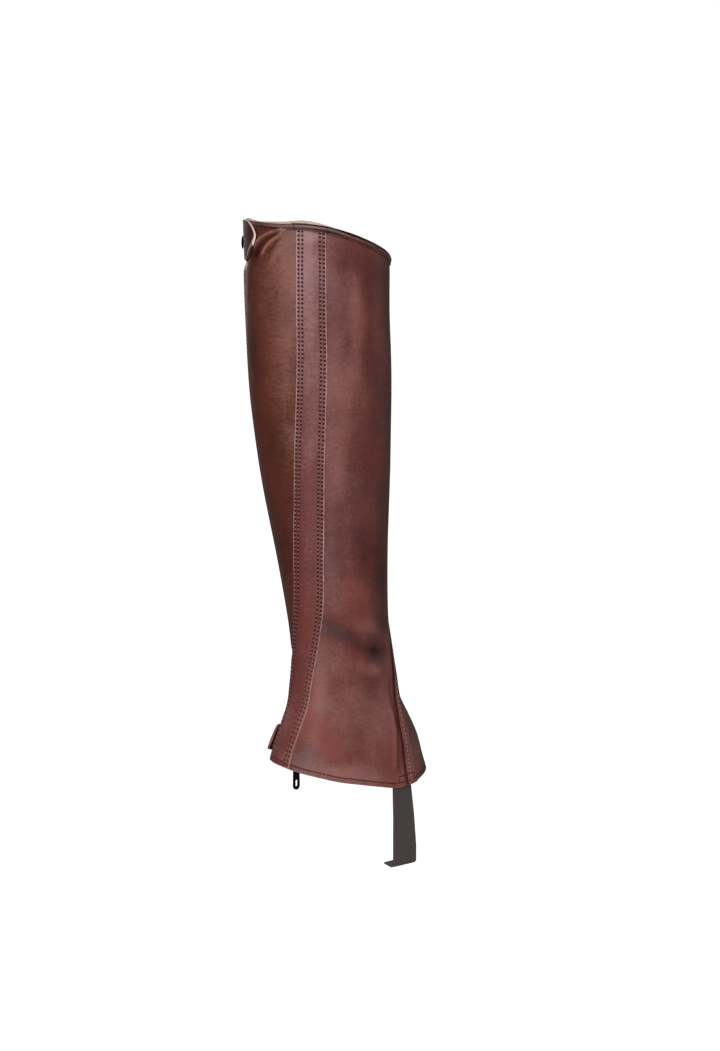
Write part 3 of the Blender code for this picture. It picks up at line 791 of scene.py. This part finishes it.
def thread_finish(name, colour, deep, low=None):
    material, tree, shader = finish_named(name)
    place = own_place(tree)
    twist = wave(place, "DIAGONAL", 900.0, 2.0)
    patches = spread(noise(place, 400.0, 2.0), 0.3, 0.7, 0.0, 0.4)
    waxed = mixed(sum_of(times(twist, 0.6), patches), colour, deep)
    feed(
        shader, Base_Color=turned_low(place, waxed, low), Normal=relief(0.6, 0.0001, twist),
        Roughness=0.6,
    )
    return material


brown_thread = thread_finish("brown_thread", rgb(150, 104, 98), rgb(96, 56, 54))
pink_thread = thread_finish(
    "pink_thread", rgb(196, 150, 148), rgb(140, 96, 94), (rgb(146, 98, 94), -0.2, -0.34)
)
dark_thread = thread_finish("dark_thread", rgb(92, 48, 46), rgb(46, 20, 20))
beige_thread = thread_finish("beige_thread", rgb(206, 168, 148), rgb(160, 116, 98))
# The holes: dark discs of painted shade, turning paler low on the foot.
hole_shade = bare_leather("painted_hole_shade", rgb(56, 20, 24), rgb(34, 10, 14), low=(rgb(92, 44, 42), -0.27, -0.35))


def sewn(name, rows, thread, width=0.75, hole=(0.62, 0.85), slant=22.0, long=0.86, folded=1.0):
    """Rows of stitches from hole to hole. A row is a list of (place up, across, height of the leather)."""
    bm = bmesh.new()
    bmesh.ops.create_uvsphere(bm, u_segments=8, v_segments=5, radius=0.5)
    bmesh.ops.scale(bm, verts=bm.verts, vec=(PITCH * long, width, 0.55))
    bmesh.ops.translate(bm, verts=bm.verts, vec=(PITCH / 2, 0.0, 0.18))
    turn = Matrix.Rotation(math.radians(slant), 4, "Z") @ Matrix.Diagonal((hole[1], hole[0], 1.0, 1.0))
    lifted = Matrix.Translation((0.0, 0.0, 0.22)) @ turn
    for face in bm.faces:
        face.smooth = True
    made = bmesh.ops.create_circle(bm, cap_ends=True, segments=10, radius=1.0, matrix=lifted)["verts"]
    for face in {face for vert in made for face in vert.link_faces}:
        face.material_index = 1
    stitch = mesh_of(name + "_one", bm)
    drawn = np.empty(len(stitch.vertices) * 3)
    stitch.vertices.foreach_get("co", drawn)
    drawn = np.concatenate([drawn.reshape(-1, 3), np.ones((len(stitch.vertices), 1))], axis=1)
    bm = bmesh.new()
    for row in rows:
        points = [spot(v, across, out, folded) for v, across, out in row]
        above = [spot(v, across, out + 1.0, folded) for v, across, out in row]
        for here, there, high in zip(points[:-1], points[1:], above):
            ahead = (there - here).normalized()
            facing = (high - here - ahead * (high - here).dot(ahead)).normalized()
            turned = Matrix((ahead, facing.cross(ahead), facing)).transposed().to_4x4()
            stretch = Matrix.Diagonal(((there - here).length / PITCH, 1.0, 1.0, 1.0))
            place = Matrix.Scale(MM, 4) @ Matrix.Translation(here) @ turned @ stretch
            stitch.vertices.foreach_set("co", (drawn @ np.array(place).T)[:, :3].ravel())
            bm.from_mesh(stitch)
    bpy.data.meshes.remove(stitch)
    stitching = in_scene(name, mesh_of(name, bm, thread, hole_shade))
    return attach(stitching, "garment")


UP_THE_LEG = np.arange(2.2, TALL - 0.5, PITCH * 0.985) / TALL


def up_row(across_at, face_at):
    """A row of holes up the leg, along a line and on a surface given at each height."""
    return [(v, across_at(v), float(face_at(v, across_at(v)))) for v in UP_THE_LEG]


sewn(
    "band_stitching",
    [up_row(lambda v: sign * (band_at(v) - edge), band_face) for sign in (-1, 1) for edge in BAND_ROWS],
    pink_thread, hole=(0.86, 1.12), slant=28.0, long=0.6,
)
sewn("seam_stitching", [up_row(lambda v: seam_at(v) + LAP_ROW, back_face)], beige_thread)

# Zip: a moulded chain between two woven tapes, sewn behind the panels' edges by two rows of thread each. The
# tapes reach from just above the hem to just under the rim.
TAPE_WIDE = 17.0
TAPE_THICK = 0.8
TAPE_OUT = -0.35  # its outer face, just inside the panels
SLIDER_AT = 0.0124
TAPE_PLACES = [0.004, *[v for v in PANEL_ROWS[13::3] if v < 0.975], 1.0 - 6.5 / TALL]
weave, tree, shader = finish_named("zip_tape_weave")
cut = put(tree, "UVMap", {"uv_map": "cut"}).outputs[0]
knit = times(wave(cut, "X", 420.0), wave(cut, "DIAGONAL", 260.0))
feed(
    shader, Base_Color=mixed(knit, rgb(14, 13, 14), rgb(46, 43, 44)),
    Normal=relief(0.7, 0.0002, knit), Roughness=0.9, Sheen_Weight=0.3,
)
tape_steps = np.linspace(0.4, TAPE_WIDE, 14)
for name, node, rows in (
    ("zip_tape_fore", "zip_tape_front", [(v, zip_at(v) + tape_steps, TAPE_OUT) for v in TAPE_PLACES]),
    ("zip_tape_aft", "zip_tape_back", [(v, zip_behind(v) - tape_steps[::-1], TAPE_OUT) for v in TAPE_PLACES]),
):
    tape = cut_piece(name, rows, TAPE_THICK, [weave])
    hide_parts(node)
    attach(tape, "garment")

moulded, tree, shader = finish_named("zip_teeth_plastic")
scuffs = noise(own_place(tree), 500.0, 3.0)
feed(
    shader, Base_Color=mixed(scuffs, rgb(18, 17, 18), rgb(44, 42, 43)),
    Roughness=spread(scuffs, 0.3, 0.7, 0.3, 0.5),
)
TOOTH_PITCH = 2.6
CHAIN_OUT = -0.8  # the middle of the teeth
bm = bmesh.new()
for side in (-1, 1):
    first = SLIDER_AT * TALL + 5.2 + (TOOTH_PITCH / 2 if side > 0 else 0.0)
    for high in np.arange(first, TALL - 8.5, TOOTH_PITCH):
        v = high / TALL
        middle = zip_at(v)
        seat = spot(v, middle, CHAIN_OUT) * MM
        facing = (spot(v, middle, CHAIN_OUT + 1.0) * MM - seat).normalized()
        up = (spot(v + 0.004, zip_at(v + 0.004), CHAIN_OUT) * MM - seat).normalized()
        up = (up - facing * up.dot(facing)).normalized()
        turned = Matrix((up.cross(facing), up, facing)).transposed().to_4x4()
        for wide, tall, thick, aside in ((2.5, 1.5, 1.9, 1.35), (1.5, 1.1, 1.2, -0.25)):
            shift = Matrix.Translation((side * aside * MM, 0.0, 0.0))
            size = Matrix.Diagonal((wide * MM, tall * MM, thick * MM, 1.0))
            bmesh.ops.create_cube(bm, size=1.0, matrix=Matrix.Translation(seat) @ turned @ shift @ size)
zip_teeth = in_scene("zip_teeth", mesh_of("zip_teeth", bm, moulded))
soften(zip_teeth, "rounding", 0.22)
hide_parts("zip_chain")
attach(zip_teeth, "garment")
sewn(
    "zip_stitching",
    [
        up_row(lambda v: middle(v) + side * (ZIP_GAPE + edge), lambda v, s: WALL + grooves(edge, ZIP_ROWS))
        for middle, side in ((zip_at, 1), (zip_behind, -1))
        for edge in ZIP_ROWS
    ],
    brown_thread,
)

# Zip slider and its pull: black lacquered metal. The slider is two plates on a neck, with a bow over the top
# one. The pull hangs from the bow by the bar above its window, and has a keyhole slot in its lower end.
lacquer, tree, shader = finish_named("black_lacquer")
chips = noise(own_place(tree), 700.0, 4.0)
feed(
    shader, Base_Color=mixed(spread(chips, 0.55, 0.75), rgb(14, 13, 13), rgb(52, 47, 45)),
    Roughness=spread(chips, 0.3, 0.7, 0.28, 0.5), Metallic=0.6,
)


def metal_piece(name, bm, place, rounding, body, node):
    """A small metal part drawn in millimetres about its own seat, with softened edges, put in its place."""
    bmesh.ops.recalc_face_normals(bm, faces=bm.faces)
    mesh = mesh_of(name, bm, lacquer)
    mesh.transform(place @ Matrix.Scale(MM, 4))
    mesh.polygons.foreach_set("use_smooth", np.ones(len(mesh.polygons), bool))
    part = in_scene(name, mesh)
    soften(part, "rounding", rounding, 3, 35.0)
    if node:
        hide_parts(node)
    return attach(part, body)


PLATE_OUT = 0.5
HINGE_OUT = PLATE_OUT + 3.2


def leg_point(v, across, out):
    """A point on the leg's plain shape, as the metal parts were set on it."""
    point, facing = [Vector(by[0].tolist()) for by in on_ring(v, [across])]
    return point + facing.normalized() * out


seat = leg_point(SLIDER_AT, zip_at(SLIDER_AT), 0.0)
facing = (leg_point(SLIDER_AT, zip_at(SLIDER_AT), 1.0) - seat).normalized()
aside = Vector((-facing.y, facing.x, 0.0)).normalized()
facing = (facing - aside * facing.dot(aside)).normalized()
above = facing.cross(aside)
slider_place = Matrix.Translation(seat * MM) @ Matrix((aside, -facing, above)).transposed().to_4x4()
further = SLIDER_AT + 0.02
ahead = leg_point(further, zip_at(further), 0.0) - seat
on_zip = slider_place @ Matrix.Rotation(math.atan2(ahead.dot(aside), ahead.dot(above)), 4, "Y")


def block(bm, low, high):
    size = Matrix.Diagonal([b - a for a, b in zip(low, high)] + [1.0])
    middle = Matrix.Translation([(a + b) / 2 for a, b in zip(low, high)])
    return bmesh.ops.create_cube(bm, size=1.0, matrix=middle @ size)["verts"]


bm = bmesh.new()
for low, high in ((-PLATE_OUT - 1.6, -PLATE_OUT - 0.05), (2.15, 3.35)):
    plate = block(bm, (-4.25, low, -4.45), (4.25, high, 4.45))
    upright = {e for vert in plate for e in vert.link_edges if abs(e.verts[0].co.y - e.verts[1].co.y) > 0.5}
    bmesh.ops.bevel(bm, geom=list(upright), offset=1.7, segments=4, profile=0.5, affect="EDGES", material=-1)
for sign in (-1, 1):
    block(bm, (sign * 4.2 - 0.35, -PLATE_OUT - 0.6, -3.0), (sign * 4.2 + 0.05, -PLATE_OUT + 0.6, 2.4))
    block(bm, (sign * 4.2 - 0.35, 1.4, -3.0), (sign * 4.2 + 0.05, 2.6, 2.4))
block(bm, (-1.1, -PLATE_OUT - 0.5, 1.6), (1.1, 2.5, 3.7))
metal_piece("zip_slider_body", bm, on_zip, 0.3, "garment", "zip_slider")
QUARTER_TURN = Matrix.Rotation(math.radians(90.0), 3, "X")
BOW_OUT = 1.15 - HINGE_OUT  # the middle of the bow's round, from the seat
bm = bmesh.new()
bmesh.ops.create_circle(bm, segments=12, radius=0.55, cap_ends=False)
bmesh.ops.rotate(bm, verts=bm.verts, cent=(0, 0, 0), matrix=QUARTER_TURN)
bmesh.ops.scale(bm, verts=bm.verts, vec=(1.4, 1.0, 1.0))
bmesh.ops.rotate(bm, verts=bm.verts, cent=(0, 0, 0), matrix=QUARTER_TURN)
bmesh.ops.translate(bm, verts=bm.verts, vec=(0.0, BOW_OUT, 1.7))
bmesh.ops.spin(
    bm, geom=list(bm.verts) + list(bm.edges), cent=(0.0, BOW_OUT, 0.0), axis=(1, 0, 0), angle=math.pi,
    steps=14, use_merge=False,
)
bmesh.ops.holes_fill(bm, edges=bm.edges, sides=0)
metal_piece("zip_slider_bow", bm, on_zip, 0.05, "garment", None)

PULL_LONG = 27.9
hinge = slider_place @ Vector((0.0, -HINGE_OUT * MM, 0.0))
upward = Vector((0, 0, 1))
hang = Matrix.Translation(hinge) @ Matrix((aside, upward.cross(aside), upward)).transposed().to_4x4()


def loop(bm, points):
    """A closed line of edges through points of the pull, given across and up."""
    verts = [bm.verts.new((x, 0.0, z)) for x, z in points]
    return [bm.edges.new((a, b)) for a, b in zip(verts, verts[1:] + verts[:1])]


def bend(across, up, radius, start, end, steps):
    angles = np.radians(np.linspace(start, end, steps))
    return [(across + radius * math.cos(a), up + radius * math.sin(a)) for a in angles]


bm = bmesh.new()
outline = [(3.0, 0.7), (-3.0, 0.7), (-3.6, 0.1)]
outline += [(-3.25, -7.0), (-3.4, -14.0)] + bend(0.0, 3.6 - PULL_LONG, 3.6, 180, 360, 15)
outline += [(3.4, -14.0), (3.25, -7.0), (3.6, 0.1)]
edges = loop(bm, outline)
edges += loop(bm, [(-1.7, -0.75), (1.7, -0.75), (1.7, -3.9), (0.9, -4.6), (-0.9, -4.6), (-1.7, -3.9)])
edges += loop(bm, bend(0.0, -21.2, 1.65, -35, 215, 11) + bend(0.0, -23.7, 1.6, 145, 395, 11))
bmesh.ops.triangle_fill(bm, edges=edges, use_beauty=True)
raised = bmesh.ops.extrude_face_region(bm, geom=list(bm.faces))["geom"]
bmesh.ops.translate(bm, verts=[g for g in raised if isinstance(g, bmesh.types.BMVert)], vec=(0.0, 1.4, 0.0))
bmesh.ops.translate(bm, verts=bm.verts, vec=(0.0, -0.7, 0.0))
metal_piece("zip_pull", bm, hang, 0.3, "puller", "zip_puller")

# Top binding: a strip of thinner leather folded over the rim and sewn through, so the rim ends in a rounded
# roll. It rises over the band and over the lapped seam, and stops at the zip.
binding_finish = burnished_leather(
    "binding_finish", (30, 13, 12), (84, 46, 42), (140, 100, 94), (92, 46, 38), (84, 64, 64),
    (170, 126, 116), clouds=0.3,
)
BINDING_THICK = 0.9
BINDING_DEEP = 4.2
RIM_UP = 0.2
# The binding's undyed inside, painted paler still as a painted highlight where the far rim shows above the
# near one.
binding_inside_and_highlight = bare_leather("binding_inside_and_highlight", rgb(255, 236, 220), rgb(246, 208, 188), 0.6)


def binding_lift(v, across):
    """What lies under the binding beyond the plain wall: the band at the shin, and the lap at the seam."""
    half, q = band_at(v), across - seam_at(v)
    on_outer = 0.3 * smooth(-across, half + 0.5, half + 4.0)
    over_band = (BAND_THICK + GAP) * (1.0 - smooth(np.abs(across), half + 0.2, half + 2.6))
    over_lap = LAP_OVER * smooth(q, -3.2, -0.6) * (1.0 - smooth(q, LAP + 2.0, LAP + 7.0))
    return on_outer + over_band + over_lap


half, seam = band_at(1.0), seam_at(1.0)
columns = np.concatenate(
    [
        np.linspace(zip_at(1.0) + ZIP_GAPE, -half - 4.0, 80),
        np.linspace(-half - 3.4, half + 3.4, 60),
        np.linspace(half + 4.0, seam - 4.0, 120),
        np.linspace(seam - 3.4, seam + LAP + 8.0, 36),
        np.linspace(seam + LAP + 9.0, zip_behind(1.0) - ZIP_GAPE, 56),
    ]
)
q = columns - seam
sunk = 0.4 * (columns < -half) + SUNK * smooth(q, -5.0, -0.6) * (1.0 - smooth(q, LAP + 2.0, LAP + 7.0))
inside = -1.2 - sunk
outside = WALL + GAP + BINDING_THICK + binding_lift(1.0, columns)
ribbed = 0.05 * np.sin(columns * 2 * math.pi / 1.7)
# The painted highlight and shadow bands sit lower on the inner side.
lower = 1.3 * smooth(columns, 14.0, 34.0)
BINDING_PAINTED_LIGHT = ((-4.2, -1), (-3.2, -1.4), (-2.5, -1.2), (-1.9, 0.2), (-1.2, 1), (-0.5, 1.1), (0, 0.2), (0.4, -1.2))
binding_rows = [
    # its lower edge pressed against the wall in a groove painted dark as painted shadow, then a ridge painted
    # light as painted highlight, under the rolled top painted dark as painted shade
    (1.0 + up / TALL, columns, outside + off + ribs * ribbed, np.interp(up + lower, *zip(*BINDING_PAINTED_LIGHT)))
    for up, off, ribs in (
        (-4.2, -0.35, 0), (-3.8, -0.3, 0), (-3.2, -0.32, 0), (-2.7, -0.3, 0), (-2.3, -0.2, 0), (-1.9, 0, 1),
        (-1.5, 0.18, 1), (-1.1, 0.24, 1), (-0.7, 0.26, 1), (-0.3, 0.2, 1), (0, 0.08, 0),
    )
]
# The turn over the rim is painted dark all along, as painted shade on the rolled top.
for degrees in range(0, 181, 15):
    turn = math.radians(degrees)
    swung = (outside + inside) / 2 + (outside - inside) / 2 * math.cos(turn)
    binding_rows.append((1.0 + (RIM_UP + 0.85 * math.sin(turn)) / TALL, columns, swung, -1.2))
binding_rows.append((1.0 - 2.0 / TALL, columns, inside - 0.1))
binding_rows.append((1.0 - BINDING_DEEP / TALL, columns, inside))
binding_leather = cut_piece(
    "binding_leather", binding_rows, BINDING_THICK - 0.1, [binding_finish, binding_inside_and_highlight, cut_edge],
    (0.5, 0.01),
)
# The inner half of the roll takes the pale inside; on the outer side it reaches over the roll's top, as a
# painted highlight.
pale_from = (len(binding_rows) - 9) * len(columns)
for face in binding_leather.data.polygons:
    place = min(face.vertices)
    on_left = columns[place % len(columns)] < -16.0
    face.material_index = 1 if place >= pale_from - 4 * on_left * len(columns) else 0
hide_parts("top_binding")
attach(binding_leather, "garment")


# Hem stitching: one row all round above the cut edge, over the band and the lap, from zip to zip. It is split
# where it steps onto another piece.
def holes_from(start, end):
    """Where the holes of a row come, from one end to the other."""
    return np.linspace(start, end, max(2, int(round((end - start) / PITCH)) + 1))


def wall_hole(up, across):
    """A hole at a height and a distance across, on the piece that is outermost there."""
    v = up / TALL
    if abs(across) < band_at(v):
        return v, across, float(band_face(v, across)) + hem_groove(v)
    if across > seam_at(v):
        return v, across, float(back_face(v, across)) + hem_groove(v)
    return v, across, float(inner_face(v, across))


v = HEM_ROW / TALL
half, seam = band_at(v), seam_at(v)
spans = (
    (zip_at(v) + ZIP_GAPE + 2.0, -half - 1.0),
    (-half + 0.8, half - 0.8),
    (half + 1.0, seam - 1.0),
    (seam + 0.8, zip_behind(v) - ZIP_GAPE - 2.0),
)
sewn("hem_stitching", [[wall_hole(HEM_ROW, s) for s in holes_from(*span)] for span in spans], dark_thread)

# Tabs: each is sewn to the back panel and carried forward over the zip to a round end, where a press stud
# holds it.
tab_finish = burnished_leather(
    "tab_finish", (40, 20, 18), (92, 50, 46), (142, 98, 92), (112, 56, 46), (96, 72, 76), (168, 124, 114),
    clouds=0.6, shine=(0.1, 0.0),
)
tab_underside = bare_leather("tab_underside", rgb(166, 98, 90), rgb(126, 68, 62))
# The bottom tab's rim, painted paler than its leather as a painted highlight.
tab_rim_painted_highlight = bare_leather("tab_rim_painted_highlight", rgb(176, 122, 112), rgb(118, 68, 62))
TAB_THICK = 1.6
SEAT = WALL + GAP
OVER_BINDING = SEAT + BINDING_THICK + GAP
TAB_ROWS, TAB_COLUMNS = 25, 90
SEWN_FROM, SEWN_TO = 2.4, 20.0  # the box of stitches, from the tab's sewn end and its edges


def tab_piece(name, node, heights, wide, reach, lifts, flare, cut_back, edge, dark):
    """A strap with a round end, as rows from its lower edge to its upper one. Given are the height of its
    lower edge at both ends, how far it stands off the wall at both edges, how much further its lower corner
    does, and how far its upper corner is cut back."""
    radius, start, tip = wide / 2, at_angle(0.0, reach[0]), reach[1]

    def on_tab(s, high):
        low = heights[0] + (heights[1] - heights[0]) * (s - start) / (tip - start)
        flared = flare * (1.0 - (high / wide) ** 2) * float(smooth(s, tip - 22.0, tip - 2.0))
        off = lifts[0] + (lifts[1] - lifts[0]) * high / wide + flared
        return (low + high) / TALL, s, off + TAB_THICK

    steps = np.linspace(0.0, math.pi, TAB_ROWS)
    holds = []
    for high, bulge in zip(wide * (1.0 - np.cos(steps)) / 2.0, radius * np.sin(steps)):
        end = tip - radius + bulge - cut_back * (high / wide) ** 2
        holds += [on_tab(s, high) for s in start + (end - start) * np.linspace(0.0, 1.0, TAB_COLUMNS)]
    place = np.concatenate([lay(*hold, folded=0.0) for hold in holds])
    up, side = np.array(holds)[:, 0] * TALL, np.array(holds)[:, 1]
    grid, count = side.reshape(TAB_ROWS, TAB_COLUMNS), np.arange(TAB_ROWS)
    to_edge = np.minimum(grid - grid[:, :1], grid[:, -1:] - grid)
    to_edge = np.minimum(to_edge, wide * np.minimum(count, count[::-1])[:, None] / TAB_ROWS)
    piece = skin(
        name, place, TAB_COLUMNS, TAB_THICK, 0.3, [tab_finish, tab_underside, edge],
        tone=0.25 * np.sin(side / 5.0) * np.sin(up / 6.0) - dark, warmth=0.2 * np.cos(side / 9.0),
        rubbed=np.exp(-((to_edge / 0.5) ** 2)).ravel(),
    )
    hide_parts(node)
    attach(piece, "garment")
    low, high = SEWN_FROM, wide - SEWN_FROM
    corners = [Vector(at) for at in ((low, low), (low, high), (SEWN_TO, high), (SEWN_TO, low), (low, low))]
    sewn_end = []
    for here, there in zip(corners[:-1], corners[1:]):
        run = (there - here).length
        holes = [here.lerp(there, t) for t in holes_from(0.0, run) / run]
        sewn_end.append([on_tab(start + hole.x, hole.y) for hole in holes])
    sewn(node + "_stitching", sewn_end, beige_thread, width=0.65, hole=(0.5, 0.65), folded=0.0)


tab_piece(
    "top_tab_leather", "top_tab", (TALL - 30.0, TALL - 30.0), 30.0, (-126.0, -51.0),
    (SEAT + 0.7, OVER_BINDING + 0.25), 0.0, 0.0, tab_edge_painted_light, 0.1,
)
tab_piece(
    "bottom_tab_leather", "bottom_tab", (12.0, 6.5), 19.5, (-110.0, -14.5), (SEAT + 1.3, SEAT + 0.5), 0.6,
    7.5, tab_rim_painted_highlight, -0.3,
)

# Press studs: domed caps with a turned rim, black like the zip's metal. Each is turned from one profile and
# stands on its tab.
for name, node, height, across, lift in (
    ("top_stud_cap", "top_stud", TALL - 17.0, -88.0, OVER_BINDING + TAB_THICK + 0.3),
    ("bottom_stud_cap", "bottom_stud", 18.0, -44.0, SEAT + 1.05 + TAB_THICK + 0.5),
):
    base = spot(height / TALL, across, lift, 0.0)
    axis = (spot(height / TALL, across, lift + 1.0, 0.0) - base).normalized()
    bm = bmesh.new()
    profile = [(0, 0), (4.9, 0), (5.2, 0.2), (5.2, 0.5), (4.9, 0.85), (4.5, 0.9), (4.2, 0.78), (3.9, 0.85)]
    profile += [(2.9, 1.2), (1.6, 1.42), (0, 1.5)]
    line = [bm.verts.new((x, 0.0, z)) for x, z in profile]
    edges = [bm.edges.new(pair) for pair in zip(line[:-1], line[1:])]
    bmesh.ops.spin(
        bm, geom=line + edges, cent=(0, 0, 0), axis=(0, 0, 1), angle=2 * math.pi, steps=40, use_merge=True
    )
    bmesh.ops.remove_doubles(bm, verts=bm.verts, dist=0.0005)
    stand = Matrix.Translation(base * MM) @ axis.to_track_quat("Z", "Y").to_matrix().to_4x4()
    metal_piece(name, bm, stand, 0.08, "garment", node)

# Foot strap: black ribbed elastic, its upper end sewn flat inside the inner wall's hem by a box of stitches.
# It hangs straight, and its free end curls inward.
STRAP_ANGLE = 111.9
STRAP_WIDE = 25.0
STRAP_THICK = 1.5
STRAP_SEWN = 16.0
STRAP_DROP = 64.8
CURL_RADIUS = 3.6
FLAP_LONG = 8.0
STRAP_TWIST = math.radians(11.5)
RIB = 1.3
elastic, tree, shader = finish_named("ribbed_elastic")
cut = put(tree, "UVMap", {"uv_map": "cut"}).outputs[0]
cords = wave(cut, "X", 260.0)
fuzz = noise(own_place(tree), 1500.0, 3.0)
share = sum_of(times(cords, 0.35), times(fuzz, 0.6))
feed(
    shader, Base_Color=mixed(share, rgb(45, 38, 38), rgb(103, 90, 89)),
    Normal=relief(0.6, 0.00015, sum_of(cords, fuzz)), Roughness=0.75, Sheen_Weight=0.15,
)
selvedge = np.array([0.0, 0.4, 0.9, 1.6]) - STRAP_WIDE / 2
columns = np.concatenate([selvedge, np.linspace(-10.4, 10.4, 16), -selvedge[::-1]])


def hem_points(up):
    """The strap's outer face where it lies inside the wall."""
    across = at_angle(up / TALL, STRAP_ANGLE) + columns
    point, facing = on_ring(up / TALL, across)
    return point - (0.5 + sunk_at(up / TALL, across)[:, None]) * facing


strap_rows = [hem_points(up) for up in np.linspace(STRAP_SEWN, 0.0, 50)]
hem_line = strap_rows[-1]
hem_middle = np.array([np.interp(0.0, columns, hem_line[:, k]) for k in range(3)])
along = hem_line[-1] - hem_line[0]
along[2] = 0.0
along /= np.linalg.norm(along)
inward = np.array([-along[1], along[0], 0.0])
sag = hem_line - hem_middle - along * columns[:, None]
straight = STRAP_DROP - CURL_RADIUS
path = [(0.0, -drop) for drop in np.arange(RIB / 4, straight, RIB / 4)]
for angle in np.radians(np.arange(0.0, 102.1, 5.1)):
    path.append((CURL_RADIUS * (1.0 - math.cos(angle)), -straight - CURL_RADIUS * math.sin(angle)))
curled = path[-1]
for further in np.arange(RIB / 4, FLAP_LONG, RIB / 4):
    path.append((curled[0] + further * math.sin(angle), curled[1] - further * math.cos(angle)))
for toward, drop in path:
    fade = max(0.0, 1.0 + drop / 24.0)
    twist = STRAP_TWIST * min(1.0, -drop / 50.0)
    across = along * math.cos(twist) - inward * math.sin(twist)
    lean = inward * math.cos(twist) + along * math.sin(twist)
    centre = hem_middle + lean * toward - inward * 2.0 * min(1.0, -drop / 50.0) + np.array([0.0, 0.0, drop])
    strap_rows.append(centre + across * columns[:, None] + sag * fade)
strap_rows = np.array(strap_rows[::-1])
deep, wide = len(strap_rows), len(columns)
steps = np.linalg.norm(np.diff(strap_rows[:, wide // 2], axis=0), axis=1)
run = np.concatenate([[0.0], np.cumsum(steps)])
outward = np.cross(np.gradient(strap_rows, axis=1), np.gradient(strap_rows, axis=0))
outward /= np.linalg.norm(outward, axis=2)[:, :, None]
ribbed = 0.13 * np.cos(run * 2 * math.pi / RIB)[:, None] * (1.0 - smooth(np.abs(columns), 9.6, 10.9))
bm = bmesh.new()
for _ in ("front", "back"):
    back = bmesh.ops.create_grid(bm, x_segments=wide - 1, y_segments=deep - 1, size=1.0)["verts"]
bmesh.ops.translate(bm, verts=back, vec=(0.0, 0.0, -0.1))
bmesh.ops.reverse_faces(bm, faces=list({face for vert in back for face in vert.link_faces}))
bmesh.ops.bridge_loops(bm, edges=[edge for edge in bm.edges if edge.is_boundary])
through = 2 * ribbed + STRAP_THICK - 0.2
faces_of_strap = [strap_rows + outward * (ribbed - off)[:, :, None] for off in (0.0, through)]
for vert, place in zip(bm.verts, np.concatenate(faces_of_strap).reshape(-1, 3)):
    vert.co = Vector(place.tolist()) * MM
bmesh.ops.recalc_face_normals(bm, faces=bm.faces)
for face in bm.faces:
    face.smooth = True
elastic_strap = in_scene("elastic_strap", mesh_of("elastic_strap", bm, elastic))
flat_place = np.stack([np.tile(columns, deep), np.repeat(run, wide)], axis=1)
keep_cut(elastic_strap.data, np.tile(flat_place, (2, 1)))
soften(elastic_strap, "woven_edges", 0.3)
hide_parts("foot_strap")
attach(elastic_strap, "garment")

BOX_LOW, BOX_HIGH, BOX_HALF_WIDE = 5.4, 8.7, 9.0
strap_middle = at_angle(0.0, STRAP_ANGLE)
sides = (strap_middle - BOX_HALF_WIDE, strap_middle + BOX_HALF_WIDE)
strap_box = [[wall_hole(up, s) for up in (BOX_LOW, BOX_HIGH)] for s in sides]
strap_box.append([wall_hole(BOX_HIGH, s) for s in holes_from(*sides)])
sewn("strap_stitching", strap_box, dark_thread)
